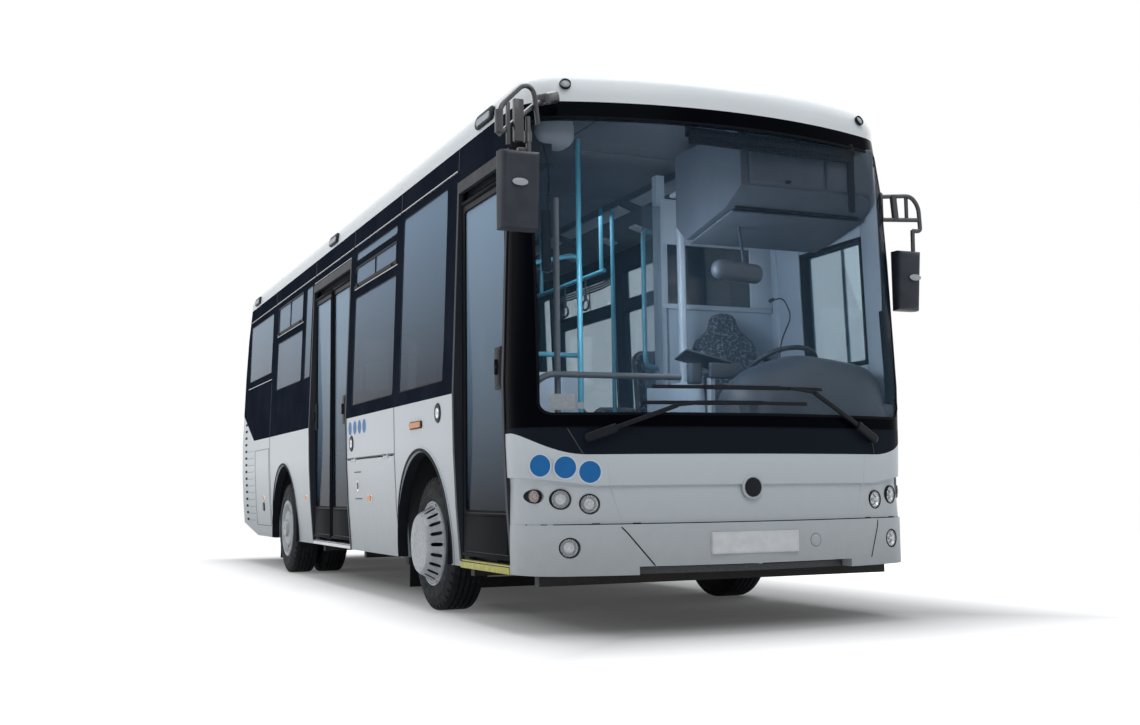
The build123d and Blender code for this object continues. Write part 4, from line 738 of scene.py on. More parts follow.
OVAL_HALF = (0.041, 0.005, 0.0185)
MIRRORS = (
    # side, middle and size of the head, middle of the oval
    ("right", (-1.318, -4.600, 2.190), (0.216, 0.112, 0.385), (-1.330, -4.653, 2.222)),
    ("left", (1.268, -4.250, 1.940), (0.170, 0.110, 0.350), (1.290, -4.303, 1.955)),
)
for side, middle, size, oval_at in MIRRORS:
    head = mirror_head(middle, size, oval_at)
    piece = show(f"mirror_head_{side}", head, (grained_black, mirror_glass, pale_oval), "body")

TUBE_RADIUS = 0.013
right_loop = smooth_path(((-1.426, -4.62, 2.456), (-1.426, -4.62, 2.590), (-1.268, -4.55, 2.745),
                          (-1.190, -4.49, 2.745), (-1.161, -4.47, 2.571)), 0.07)
right_strut = [(-1.426, -4.62, 2.456), (-1.167, -4.45, 2.683), (-1.00, -4.34, 2.775)]
right_stem = [(-1.252, -4.56, 2.575), (-1.258, -4.585, 2.36)]
left_loop = smooth_path(((1.105, -4.15, 2.454), (1.320, -4.25, 2.456), (1.357, -4.27, 2.388),
                         (1.357, -4.28, 2.238), (1.313, -4.26, 2.242)), 0.06)
left_bar = [(1.120, -4.16, 2.316), (1.352, -4.27, 2.308)]
left_stem = [(1.316, -4.26, 2.246), (1.314, -4.26, 2.10)]
brackets = bmesh.new()
brackets.from_mesh(tube_mesh([right_loop, right_strut, right_stem, left_loop, left_bar, left_stem],
                             TUBE_RADIUS, 14))
joints = [[(-1.426, -4.62, 2.462), (-1.426, -4.62, 2.575)],
          [(-1.252, -4.56, 2.50), (-1.256, -4.57, 2.44)],
          [(1.225, -4.205, 2.46), (1.235, -4.21, 2.305)]]
brackets.from_mesh(tube_mesh(joints, 0.021, 16))
for bar in (
    ((0.052, 0.030, 0.215), (-1.312, -4.585, 2.545), 0.006, 2),
    ((0.020, 0.016, 0.215), (-1.372, -4.60, 2.520), 0.004, 2),
    ((0.022, 0.014, 0.140), (1.296, -4.235, 2.380), 0.004, 2),
    ((0.140, 0.075, 0.062), (-1.070, -4.385, 2.742), 0.018, 3, turned(38, "Z") @ turned(-20, "Y")),
    ((0.060, 0.070, 0.190), (1.135, -4.165, 2.385), 0.016, 3),
    ((0.070, 0.030, 0.020), (-1.275, -4.565, 2.405), 0.004, 2),
):
    rounded_bar(brackets, *bar)
piece = show("mirror_brackets", brackets, tube_paint, "body")
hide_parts("mirrors")

# ---------------------------------------------------------------- windscreen and scuttle
# One large bonded laminated screen, lightly tinted, with a black border printed on its inside.
# Under it lies a moulded black scuttle in three lengths, and a soft black bead closes the glass edge.
SCREEN_HALF = 1.110
SCREEN_Z = (1.120, 2.680)
SCREEN_CORNER = 0.060
SCUTTLE_TOP_Z = 1.052

screen_glass = Finish("tinted windscreen", (0.03, 0.07, 0.11), 0.02, Alpha=0.13, Specular_IOR_Level=0.12)
screen_glass.colours(screen_glass.span(screen_glass.axis("Z"), 1.1, 2.7), (0.06, 0.13, 0.20),
                     (0.02, 0.05, 0.09))
screen_glass.wear(0.01, 0.04, 4, 5, edges=(0.4, 0.75))
screen_glass.put_on("windscreen")
frit = Finish("printed black border", (0.002, 0.003, 0.005), 0.22, Specular_IOR_Level=0.01)
scuttle_share = frit.span(frit.axis("Z"), SCUTTLE_TOP_Z, SCUTTLE_TOP_Z + 0.004, 1, 0)
frit.colours(scuttle_share, (0.0015, 0.002, 0.004), (0.012, 0.016, 0.024))
frit.gloss(scuttle_share, 0.2, 0.42)
frit.relief(frit.sum("MULTIPLY", scuttle_share, frit.speckle(700, 2)), 0.0002)
frit.put_on("windscreen_surround")
seal_rubber = Finish("black seal rubber", (0.006, 0.007, 0.009), 0.6, Specular_IOR_Level=0.03)
seal_rubber.mottle((0.004, 0.005, 0.007), (0.010, 0.011, 0.014), 90)


def rounded_outline(left, right, bottom, top, radius, steps=5):
    """Points round a rectangle whose corners are rounded, closed on its first point."""
    points = []
    corners = ((right - radius, bottom + radius), (right - radius, top - radius),
               (left + radius, top - radius), (left + radius, bottom + radius))
    for number, (across, height) in enumerate(corners):
        for step in range(steps + 1):
            angle = pi / 2 * (number - 1 + step / steps)
            points.append((across + radius * cos(angle), height + radius * sin(angle)))
    return points + points[:1]


STRIP_FOOT = -0.001      # laid trim sinks this far into the panel
SAME_PLACE = 1e-6


def skin_rings(mesh, rings, closed=False, material=0):
    """Faces round and between rings of points, with both ends capped unless the rings run in a circle."""
    faces = []
    for near, far in zip(rings, rings[1:] + rings[:1] if closed else rings[1:]):
        for number in range(len(near)):
            after = (number + 1) % len(near)
            faces.append(mesh.faces.new((near[number], near[after], far[after], far[number])))
    if not closed:
        faces += [mesh.faces.new(rings[0][::-1]), mesh.faces.new(rings[-1])]
    for made in faces:
        made.material_index = material
    bmesh.ops.recalc_face_normals(mesh, faces=faces)


def laid_strip(mesh, face, corners, width, thickness, lift=0.0, step=0.06, skin=None, material=0):
    """A strip of trim with eased edges, laid on the panels along a drawn line, added to a mesh."""
    flat = walked(corners, step)
    closed = hypot(flat[0][0] - flat[-1][0], flat[0][1] - flat[-1][1]) < SAME_PLACE
    if closed:
        flat = flat[:-1]
    landed = [landing(face, *point, skin) for point in flat]
    count = len(landed)
    half, ease = width / 2, min(thickness, width) * 0.3
    section = ((-half, STRIP_FOOT), (-half, thickness - ease), (ease - half, thickness),
               (half - ease, thickness), (half, thickness - ease), (half, STRIP_FOOT))
    rings = []
    for number, (place, normal) in enumerate(landed):
        before = landed[(number - 1) % count][0] if closed or number else place
        after = landed[(number + 1) % count][0] if closed or number < count - 1 else place
        into, away = (place - before).normalized(), (after - place).normalized()
        side = normal.cross(into + away).normalized()
        mitre = 1 / max(side.dot(normal.cross(away if away.length else into)), 0.5)
        rings.append([mesh.verts.new(place + side * (across * mitre) + normal * (lift + up))
                      for across, up in section])
    skin_rings(mesh, rings, closed, material)


beads = bmesh.new()
screen_edge = rounded_outline(-SCREEN_HALF, SCREEN_HALF, *SCREEN_Z, SCREEN_CORNER)
laid_strip(beads, "front", screen_edge, 0.014, 0.003, skin=skin_of("windscreen", "windscreen_surround"))
laid_strip(beads, "front", [(x, SCUTTLE_TOP_Z) for x in (-1.16, 1.16)], 0.006, 0.0025)
show("windscreen_bead", beads, seal_rubber, "body")
scuttle_joints = [laid_line("front", line) for line in
                  (((-0.980, 1.046), (-0.905, 0.918)), ((0.845, 1.046), (0.868, 0.918)))]
show("scuttle_joints", tube_mesh(scuttle_joints, 0.0026, 6), sealant, "body")

# ---------------------------------------------------------------- wipers
# Two pressed-steel wiper arms in black on capped spindles, each with a spring channel and a flat
# blade with a rubber lip. They park one over the other across the foot of the screen.
WIPERS = (
    # pivot, elbow, blade start and end, each across and height
    ((-0.880, 1.000), (-0.427, 1.162), (-0.600, 1.176), (0.355, 1.180)),
    ((0.835, 1.000), (0.395, 1.242), (-0.550, 1.258), (0.462, 1.261)),
)
wiper_black = Finish("satin wiper enamel", (0.008, 0.010, 0.014), 0.42, Specular_IOR_Level=0.12)
wiper_black.mottle((0.005, 0.007, 0.010), (0.014, 0.017, 0.023), 25)
SPINDLE_CAP = ((0.0, 0.048), (0.012, 0.048), (0.019, 0.044), (0.023, 0.034), (0.025, -0.004), (0.0, -0.004))


def turned_on_skin(mesh, profile, radius, place, normal, material, steps=32):
    """A turned form set on a panel: its profile is (share of radius, height out of the panel)."""
    made = bmesh.new()
    turned_about_axle(made, [(height, share * radius) for share, height in profile], steps)
    made.transform(Matrix.Translation(place) @ normal.to_track_quat("X", "Z").to_matrix().to_4x4())
    for made_face in made.faces:
        made_face.material_index = material
    merge(mesh, made)


wiper_mesh = bmesh.new()
for pivot, elbow, start, end in WIPERS:
    share = [tuple(Vector(pivot).lerp(Vector(elbow), part)) for part in (0.0, 0.30, 0.34, 1.0)]
    tongue = (elbow[0] + (0.16 if pivot[0] < 0 else -0.16), start[1] + 0.002)
    spine = ((start[0] + 0.28, start[1]), (end[0] - 0.28, end[1]))
    lip = ((start[0] - 0.006, start[1] - 0.004), (end[0] + 0.006, end[1] - 0.004))
    for line, width, thickness, lift, material in (
        (share[:2], 0.046, 0.024, 0.024, 0), (share[1:], 0.024, 0.014, 0.028, 0),
        ((elbow, tongue), 0.015, 0.010, 0.026, 0), ((start, end), 0.019, 0.007, 0.010, 0),
        (spine, 0.024, 0.010, 0.012, 0), (lip, 0.005, 0.016, 0.0, 1),
    ):
        laid_strip(wiper_mesh, "front", line, width, thickness, lift, material=material)
    turned_on_skin(wiper_mesh, SPINDLE_CAP, 1, *landing("front", *pivot), 0, 24)
piece = show("wiper_arms_and_blades", wiper_mesh, (wiper_black, seal_rubber), "body")
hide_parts("wipers")

# ---------------------------------------------------------------- front lamps
# Round bolt-in lamp units: a chrome bowl and bulb shield under a clear domed lens, in a dark ring.
# Three sit each side in the mask, with an amber indicator outermost, and a fog lamp in the bumper.
LAMPS = (
    # across, height, radius
    (1.118, 0.706, 0.036),
    (1.010, 0.690, 0.052),
    (0.871, 0.665, 0.052),
    (0.980, 0.448, 0.052),
)
BOWL = ((0.0, -0.016), (0.20, -0.016), (0.24, -0.026), (0.60, -0.020), (0.86, -0.010), (0.93, -0.003),
        (0.93, -0.006), (0.62, -0.025), (0.24, -0.032), (0.0, -0.032))
LENS = ((0.0, 0.0105), (0.30, 0.0100), (0.60, 0.0080), (0.80, 0.0050), (0.92, 0.0010), (0.92, -0.0010),
        (0.78, 0.0020), (0.58, 0.0055), (0.30, 0.0080), (0.0, 0.0085))
RING = ((0.86, -0.001), (0.88, 0.004), (0.93, 0.0055), (0.985, 0.004), (0.995, -0.002), (0.995, -0.012),
        (0.90, -0.012), (0.86, -0.001))
SHIELD = ((0.0, 0.004), (0.14, 0.0035), (0.19, 0.0), (0.20, -0.018), (0.0, -0.018))
INNER_RING = ((0.50, -0.016), (0.52, -0.012), (0.58, -0.012), (0.60, -0.016), (0.55, -0.022), (0.50, -0.016))
LAMP_PROUD = 0.004
INDICATOR_RADIUS = 0.04  # a smaller lamp than this is the amber indicator

chrome = Finish("lamp chrome", (0.62, 0.64, 0.66), 0.12, 1.0)
chrome.wear(0.08, 0.24, 40, edges=(0.4, 0.7))
lens_clear = Finish("clear lens", (0.80, 0.85, 0.90), 0.03, Alpha=0.22)
lens_clear.wear(0.02, 0.08, 30)
amber = Finish("amber lens", (0.85, 0.24, 0.03), 0.12, Alpha=0.9)
amber.mottle((0.80, 0.20, 0.025), (0.95, 0.36, 0.06), 90)
lamp_black = Finish("lamp housing", (0.012, 0.014, 0.018), 0.4, Specular_IOR_Level=0.08)
lamp_black.mottle((0.010, 0.012, 0.016), (0.022, 0.025, 0.030), 50)


lamp_mesh = bmesh.new()
lamp_skin = skin_of("front_lamps")
for across, height, radius in LAMPS:
    for hand in (-1, 1):
        place, normal = landing("front", hand * across, height, lamp_skin)
        place = place + normal * LAMP_PROUD
        inside = 3 if radius < INDICATOR_RADIUS else 0
        for profile, material in ((BOWL, inside), (LENS, 1), (RING, 2), (SHIELD, inside), (INNER_RING, 2)):
            turned_on_skin(lamp_mesh, profile, radius, place, normal, material, 20 if profile is SHIELD else 32)
piece = show("front_lamp_units", lamp_mesh, (chrome, lens_clear, lamp_black, amber), "body", smooth=35)
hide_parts("front_lamps")

# ---------------------------------------------------------------- bumper, plate and stickers
# The bumper hangs under the mask. The gap between them and the gaps at its corners are strips of painted shade.
# It carries a blank pressed plate and a round tow-eye cover. The mask carries blank round stickers, and a plain
# dark disc in a pale ring.
BUMPER_GAP_Z = 0.5615
PLATE_HALF = (0.260, 0.056)
PLATE_Z = 0.458
gap_shade = Finish("gap shade", (0.012, 0.013, 0.016), 0.8, Specular_IOR_Level=0.1)
gap_shade.mottle((0.008, 0.009, 0.012), (0.02, 0.021, 0.025), 30)
plate_white = Finish("blank plate", (0.66, 0.68, 0.70), 0.4)
plate_white.mottle((0.62, 0.64, 0.66), (0.72, 0.74, 0.76), 18, 4, edges=(0.35, 0.7))
plate_white.grain(0.0002, 150)
plate_white.put_on("plate_holders")
vinyl_blue = Finish("blue vinyl", (0.012, 0.15, 0.42), 0.35, Specular_IOR_Level=0.2)
vinyl_blue.mottle((0.009, 0.130, 0.38), (0.016, 0.17, 0.47), 20)
vinyl_pale = Finish("pale vinyl", (0.62, 0.70, 0.78), 0.35)
vinyl_pale.mottle((0.58, 0.66, 0.75), (0.68, 0.75, 0.82), 20)

# painted shade: the gap under the mask and the corner gaps are dark strips laid on the panels
gaps = bmesh.new()
laid_strip(gaps, "front", [(-1.150, BUMPER_GAP_Z), (1.150, BUMPER_GAP_Z)], 0.008, 0.0022)
for across in (-0.845, -0.640, 0.800, 1.000):
    laid_strip(gaps, "front", [(across - 0.020, BUMPER_GAP_Z), (across + 0.020, BUMPER_GAP_Z)], 0.014, 0.003)
CORNER_GAPS = (
    ((-0.728, 0.548), (-0.700, 0.520), (-0.560, 0.353)),
    ((0.862, 0.552), (0.858, 0.520), (0.800, 0.353)),
)
for corner_gap in CORNER_GAPS:
    laid_strip(gaps, "front", corner_gap, 0.0065, 0.0016)
show("bumper_gaps", gaps, gap_shade, "body")


def plate_blank(name, face, height):
    """A blank pressed plate with a raised line round it, on its holder."""
    outward = FACES[face].y
    holder_y = landing(face, 0, height, skin_of("plate_holders"))[0].y
    plate = bmesh.new()
    rounded_bar(plate, (2 * PLATE_HALF[0] - 0.006, 0.005, 2 * PLATE_HALF[1] - 0.006),
                (0, holder_y + outward * 0.0015, height), 0.002)
    wide, tall = PLATE_HALF[0] - 0.010, PLATE_HALF[1] - 0.010
    edge = [(across, holder_y + outward * 0.004, height + rise)
            for across, rise in rounded_outline(-wide, wide, -tall, tall, 0.008)]
    plate.from_mesh(tube_mesh([edge], 0.0016, 6))
    show(name, plate, plate_white, "body")


plate_blank("front_plate_blank", "front", PLATE_Z)

round_mesh = bmesh.new()
STICKERS = ((-1.103, 0.860), (-0.992, 0.850), (-0.872, 0.826))
STICKER_RADIUS = 0.062
STICKER_PROFILES = (
    # the blue disc, then the pale rim
    ((0.0, 0.0012), (0.90, 0.0012), (0.90, 0.0004), (0.0, 0.0004)),
    ((0.89, 0.0016), (1.0, 0.0014), (1.0, 0.0), (0.89, 0.0), (0.89, 0.0016)),
)
for across, height in STICKERS:
    for number, profile in enumerate(STICKER_PROFILES):
        turned_on_skin(round_mesh, profile, STICKER_RADIUS, *landing("front", across, height), number)
show("front_stickers", round_mesh, (vinyl_blue, vinyl_pale), "body")

boss = bmesh.new()
place, normal = landing("front", 0, 0.830)
place = place + Vector((0, 0.001, -0.090))
PALE_RING = ((0.0, 0.012), (0.74, 0.012), (0.78, 0.009), (0.84, 0.009), (0.90, 0.014), (0.97, 0.012),
             (1.0, 0.0), (0.0, -0.012))
DARK_DISC = ((0.0, 0.0145), (0.90, 0.0140), (1.0, 0.0118), (0.0, 0.0110))
TOW_COVER = ((0.0, 0.0022), (0.93, 0.0022), (1.0, 0.0008), (1.0, -0.001), (0.0, -0.001))
TOW_COVER_X = 0.385
TOW_GAP_RADIUS = 0.0345
turned_on_skin(boss, PALE_RING, 0.062, place, normal, 0, 48)
turned_on_skin(boss, DARK_DISC, 0.050, place, normal, 1, 48)
turned_on_skin(boss, TOW_COVER, 0.033, *landing("front", TOW_COVER_X, PLATE_Z), 0, 32)
show("mask_boss_and_tow_cover", boss, (lacquer, lamp_black), "body")
ring_line = [landing("front", TOW_COVER_X + TOW_GAP_RADIUS * cos(a), PLATE_Z + TOW_GAP_RADIUS * sin(a))[0]
             for a in (2 * pi * n / 40 for n in range(41))]
show("tow_cover_gap", tube_mesh([ring_line], 0.0012, 6), sealant, "body")

# ---------------------------------------------------------------- drip rails and sliding window frames
# A thin bright aluminium drip rail runs over the windows, broken at each pillar. The sliding windows
# have slim black frames with small catches, and a bright sill line under them.
DRIP_LIFT = -0.004
CHANNEL_YS = (-3.206, *PILLAR_YS, 4.050)
SLIDERS = (
    # face, front, rear, bottom and top of the sliding pane
    ("right", -1.880, -0.740, 2.322, 2.456),
    ("right", 1.250, 2.430, 2.322, 2.570),
    ("left", -1.880, -0.740, 2.322, 2.570),
    ("left", -0.540, 0.640, 2.322, 2.570),
    ("left", 1.250, 2.430, 2.322, 2.570),
)
bright = Finish("satin aluminium trim", (0.52, 0.54, 0.57), 0.32, 0.85)
bright.mottle((0.46, 0.48, 0.51), (0.60, 0.62, 0.65), 35)
bright.wear(0.24, 0.42, 80, 2)

DRIP_END = 0.008         # bare length at each pillar
drips = [laid_line(face, ((front + DRIP_END, DRIP_Z), (rear - DRIP_END, DRIP_Z)), DRIP_LIFT, 0.3)
         for face in ("right", "left") for front, rear in zip(CHANNEL_YS, CHANNEL_YS[1:])]
drip_mesh = bmesh.new()
drip_mesh.from_mesh(tube_mesh(drips, 0.0054, 8))
laid_strip(drip_mesh, "right", [(-0.560, 2.572), (0.780, 2.572)], 0.005, 0.004, step=0.3)
for face in ("right", "left"):
    laid_strip(drip_mesh, face, [(2.690, 1.892), (4.090, 1.892)], 0.007, 0.004, step=0.2)
for face, front, rear, bottom, _ in SLIDERS:
    laid_strip(drip_mesh, face, [(front - 0.03, bottom - 0.030), (rear + 0.03, bottom - 0.030)], 0.007,
               0.005, step=0.3)
piece = show("bright_trim", drip_mesh, bright, "body")

frame_black = Finish("black window frame", (0.010, 0.011, 0.013), 0.45, Specular_IOR_Level=0.05)
frame_black.mottle((0.008, 0.009, 0.011), (0.020, 0.021, 0.024), 40)
slider_mesh = bmesh.new()
for face, front, rear, bottom, top in SLIDERS:
    laid_strip(slider_mesh, face, rounded_outline(front, rear, bottom, top, 0.024), 0.016, 0.006, step=0.2)
    laid_strip(slider_mesh, face, [(front - 0.03, bottom - 0.014), (rear + 0.03, bottom - 0.014)], 0.020,
               0.010, step=0.3)
    middle = (front + rear) / 2
    for across in (front + 0.09, rear - 0.09):
        for reach in (0.016, 0.010):
            catch = [(across - reach, bottom - 0.014), (across + reach, bottom - 0.014)]
            laid_strip(slider_mesh, face, catch, 0.030 - reach, 0.016, lift=0.003, step=0.05)
    laid_strip(slider_mesh, face, [(middle, bottom), (middle, top)], 0.016, 0.006, step=0.1)
show("sliding_window_frames", slider_mesh, frame_black, "body")

pane_seals = bmesh.new()
CLEAR_PANES = (
    # front, rear, bottom, top of the fixed panes of the door side
    (-3.000, -2.050, 1.400, 2.570), (-1.880, -0.740, 1.400, 2.220), (-1.880, -0.740, 2.514, 2.570),
    (0.860, 1.110, 1.760, 2.570), (1.250, 2.430, 1.760, 2.220), (2.735, 4.040, 1.965, 2.570),
)
for front, rear, bottom, top in CLEAR_PANES:
    laid_strip(pane_seals, "right", rounded_outline(front, rear, bottom, top, 0.024), 0.006, 0.0015, step=0.2)
show("pane_edges", pane_seals, frame_black, "body")

# ---------------------------------------------------------------- wheel arches and mud flaps
# A dark moulded edge strip is clipped round each wheel opening, inside the painted flange. Plain rubber
# flaps hang behind the wheels.
ARCHES = (
    # axle, radius, height of the middle
    (FRONT_AXLE_Y, 0.543, 0.446),
    (REAR_AXLE_Y, 0.598, 0.408),
)
arch_black = Finish("moulded arch edge", (0.010, 0.012, 0.016), 0.55, Specular_IOR_Level=0.06)
arch_black.mottle((0.008, 0.010, 0.014), (0.020, 0.023, 0.029), 12, 4)
ARCH_STEPS = 48


def arch_turns(radius, middle_z, foot_z):
    """Angles round a wheel arch, from one foot to the other."""
    foot = asin((foot_z - middle_z) / radius)
    return [foot + (pi - 2 * foot) * n / ARCH_STEPS for n in range(ARCH_STEPS + 1)]


ARCH_WIDER = 0.012       # the clipped strip lies this far outside the opening
STRIP_FEET_Z, LINING_FEET_Z = 0.318, 0.312
arch_mesh = bmesh.new()
for axle_y, radius, middle_z in ARCHES:
    wide = radius + ARCH_WIDER
    line = [(axle_y + wide * cos(turn), middle_z + wide * sin(turn))
            for turn in arch_turns(wide, middle_z, STRIP_FEET_Z)]
    section = ((1.186, radius - 0.0010), (1.184, radius - 0.0035),
               (1.118, radius - 0.0035), (1.116, radius - 0.0010))
    for face in ("right", "left"):
        laid_strip(arch_mesh, face, line, 0.020, 0.005, step=0.2)
        rings = []
        for turn in arch_turns(radius, middle_z, LINING_FEET_Z):
            along, rise = cos(turn), sin(turn)
            rings.append([arch_mesh.verts.new((FACES[face].x * across, axle_y + reach * along,
                                               middle_z + reach * rise)) for across, reach in section])
        skin_rings(arch_mesh, rings)
show("arch_edges", arch_mesh, arch_black, "body")
flap_rubber = Finish("flap rubber", (0.010, 0.011, 0.013), 0.7, Specular_IOR_Level=0.1)
flap_rubber.mottle((0.007, 0.008, 0.010), (0.020, 0.021, 0.023), 14, 5)
flap_rubber.put_on("mud_flaps")

# ---------------------------------------------------------------- side lamps, locks and stickers
# Small marker lamps with amber lenses, plain dark blanking plates, the locks of the service flap, push
# buttons beside the doors and small blank vinyl stickers, all on the white skirt.
smoky = Finish("roof lamp lens", (0.20, 0.21, 0.22), 0.1, Alpha=0.9)
smoky.mottle((0.10, 0.11, 0.12), (0.32, 0.33, 0.34), 60)
smoky.put_on("marker_lamps")
LAMP_PADS = (
    # middle along the bus, height, half length, half height, slot of the finish
    (-1.240, 0.699, 0.062, 0.026, 0), (0.962, 0.700, 0.040, 0.026, 0), (3.063, 0.700, 0.040, 0.026, 0),
    (3.084, 0.610, 0.042, 0.044, 1),
)


def laid_pad(mesh, face, across, height, half_length, half_height, thickness, material=0, corner=0.3):
    """A flat rounded pad on a panel, with a smaller top."""
    radius = min(half_length, half_height) * corner * 2
    outline = rounded_outline(across - half_length, across + half_length,
                              height - half_height, height + half_height, radius)[:-1]
    landed = [landing(face, *point) for point in outline]
    middle, _ = landing(face, across, height)
    rings = [[mesh.verts.new(middle + (place - middle) * share + normal * up) for place, normal in landed]
             for share, up in ((1.0, STRIP_FOOT), (1.0, thickness * 0.6), (0.94, thickness))]
    skin_rings(mesh, rings, material=material)


pads = bmesh.new()
for face in ("right", "left"):
    for across, height, half_length, half_height, kind in LAMP_PADS:
        laid_pad(pads, face, across, height, half_length, half_height, 0.008, kind)
        if kind == 0:
            laid_pad(pads, face, across, height, half_length - 0.012, half_height - 0.004, 0.013, 2)
laid_pad(pads, "right", -2.450, 1.160, 0.130, 0.024, 0.010, 1)
laid_pad(pads, "right", -2.450, 1.160, 0.120, 0.018, 0.016, 2)
piece = show("side_marker_lamps", pads, (chrome, lamp_black, amber), "body")

locks = bmesh.new()
for height in (0.891, 0.694):
    laid_pad(locks, "right", -0.905, height, 0.100, 0.0035, 0.003, 0)
laid_pad(locks, "right", -0.890, 0.790, 0.034, 0.044, 0.004, 1, corner=0.5)
laid_pad(locks, "right", -0.908, 0.790, 0.010, 0.026, 0.008, 0)
show("flap_locks", locks, (lamp_black, chrome), "service_lid")

buttons = bmesh.new()
BUTTON_PARTS = (
    # profile and radius of the base, then of the button
    (((0.0, 0.006), (0.90, 0.006), (1.0, 0.0), (0.0, -0.002)), 0.062),
    (((0.0, 0.011), (0.8, 0.010), (1.0, 0.004), (0.0, 0.0)), 0.034),
)
for across, height in ((-2.908, 1.210), (-0.735, 1.110)):
    for number, (profile, radius) in enumerate(BUTTON_PARTS):
        turned_on_skin(buttons, profile, radius, *landing("right", across, height), number, 28)
show("door_buttons", buttons, (lamp_black, chrome), "body")

side_stickers = bmesh.new()
SIDE_STICKER_YS = (-0.700, -0.848, -0.988, -1.128)
SIDE_STICKER_RADIUS = 0.058
SIDE_STICKER_Z = 1.225
for across in SIDE_STICKER_YS:
    place, normal = landing("right", across, SIDE_STICKER_Z)
    for number, profile in enumerate(STICKER_PROFILES):
        turned_on_skin(side_stickers, profile, SIDE_STICKER_RADIUS, place, normal, number, 28)
show("side_stickers", side_stickers, (vinyl_blue, vinyl_pale), "body")

# ---------------------------------------------------------------- doors and portals
# Inward gliding doors: extruded dark frames with bonded glass, a rubber edge down each closing side and
# a black handle plate. The portals are dark extrusions with ribbed headers and bright sills, and the front
# one has a yellow nosing.
DOORS = (
    # name of the leaf in the CAD model, jamb edge, closing edge, middle of the handle plate
    ("front", -3.235, -4.025, -3.860),
    ("middle_fore", -0.545, 0.105, -0.330),
    ("middle_aft", 0.765, 0.115, 0.720),
)
LEAF_X = -1.150
LEAF_Z = (0.371, 2.430)
STILE = 0.062
SILL_Z = (0.308, 0.340)

portal_grey = Finish("dark door extrusion", (0.028, 0.033, 0.042), 0.45, Specular_IOR_Level=0.12)
portal_grey.mottle((0.022, 0.027, 0.036), (0.044, 0.050, 0.061), 5, 4, (1, 1, 0.2), edges=(0.3, 0.7))
portal_grey.wear(0.36, 0.55, 40)
portal_grey.put_on("door_portals", "door_post_front", "door_post_middle_fore", "door_post_middle_aft")
leaf_black = Finish("door leaf enamel", (0.012, 0.015, 0.020), 0.35, Specular_IOR_Level=0.05)
leaf_black.mottle((0.009, 0.012, 0.017), (0.018, 0.022, 0.030), 8, 4)
door_glass_painted_sky = Finish("tinted door glass with painted sky", (0.10, 0.15, 0.21), 0.02, Alpha=0.80, Specular_IOR_Level=0.03)
# painted sky reflection: the door glass goes from nearly black at the foot to pale blue at the top
door_glass_painted_sky.colours(door_glass_painted_sky.span(door_glass_painted_sky.axis("Z"), 0.6, 2.4), (0.004, 0.009, 0.018), (0.370, 0.530, 0.710))
door_glass_painted_sky.wear(0.02, 0.10, 5, 5, edges=(0.4, 0.75))
for name, *_ in DOORS:
    leaf_black.put_on(f"door_leaf_{name}")
    door_glass_painted_sky.put_on(f"door_glass_{name}")
safety_yellow = Finish("yellow nosing", (0.62, 0.60, 0.16), 0.6)
safety_yellow.mottle((0.58, 0.55, 0.13), (0.40, 0.38, 0.12), 30, 5, edges=(0.4, 0.7))
safety_yellow.grain(0.0004, 500, 2)

HANDLE_Z = 1.395
low, high = LEAF_Z
middle_z, tall = (low + high) / 2, high - low
for name, jamb, closing, plate_y in DOORS:
    hand = 1 if closing > jamb else -1
    front, rear = sorted((jamb + hand * STILE, closing - hand * STILE))
    pane_y, pane_width = (front + rear) / 2, rear - front + 0.02
    # rubber edge, finger guard, jamb edge
    leaf = bars(
        ((0.040, 0.020, tall - 0.01), (LEAF_X + 0.0175, closing - hand * 0.008, middle_z), 0.006, 3),
        ((0.018, 0.012, tall - 0.02), (LEAF_X - 0.004, closing - hand * 0.020, middle_z), 0.004, 2),
        ((0.040, 0.012, tall - 0.01), (LEAF_X + 0.0175, jamb + hand * 0.004, middle_z), 0.005, 2),
    )
    # head and foot rails, glass bead, kick plate
    for height in (low + 0.012, high - 0.012):
        rounded_bar(leaf, (0.016, abs(closing - jamb) - 0.03, 0.022),
                    (LEAF_X - 0.003, (jamb + closing) / 2, height), 0.004, 2)
    bead = [(LEAF_X - 0.001, y, z)
            for y, z in rounded_outline(front + 0.004, rear - 0.004, low + 0.254, high - 0.064, 0.022)]
    leaf.from_mesh(tube_mesh([bead], 0.0055, 8))
    rounded_bar(leaf, (0.010, pane_width, 0.200), (LEAF_X - 0.002, pane_y, low + 0.130), 0.004, 2)
    rounded_bar(leaf, (0.008, pane_width, 0.010), (LEAF_X - 0.007, pane_y, low + 0.235), 0.003, 2)
    show(f"door_rubber_{name}", leaf, seal_rubber, f"door_{name}")
    handle = bars(
        ((0.014, 0.100, 0.230), (LEAF_X - 0.006, plate_y, HANDLE_Z), 0.006, 3),
        ((0.006, 0.074, 0.190), (LEAF_X - 0.013, plate_y, HANDLE_Z), 0.003, 2),
        ((0.020, 0.014, 0.085), (LEAF_X - 0.022, plate_y, HANDLE_Z + 0.005), 0.005, 3),
        ((0.016, 0.036, 0.018), (LEAF_X - 0.020, plate_y, HANDLE_Z + 0.005), 0.005, 3),
    )
    piece = show(f"door_handle_{name}", handle, lamp_black, f"door_{name}")

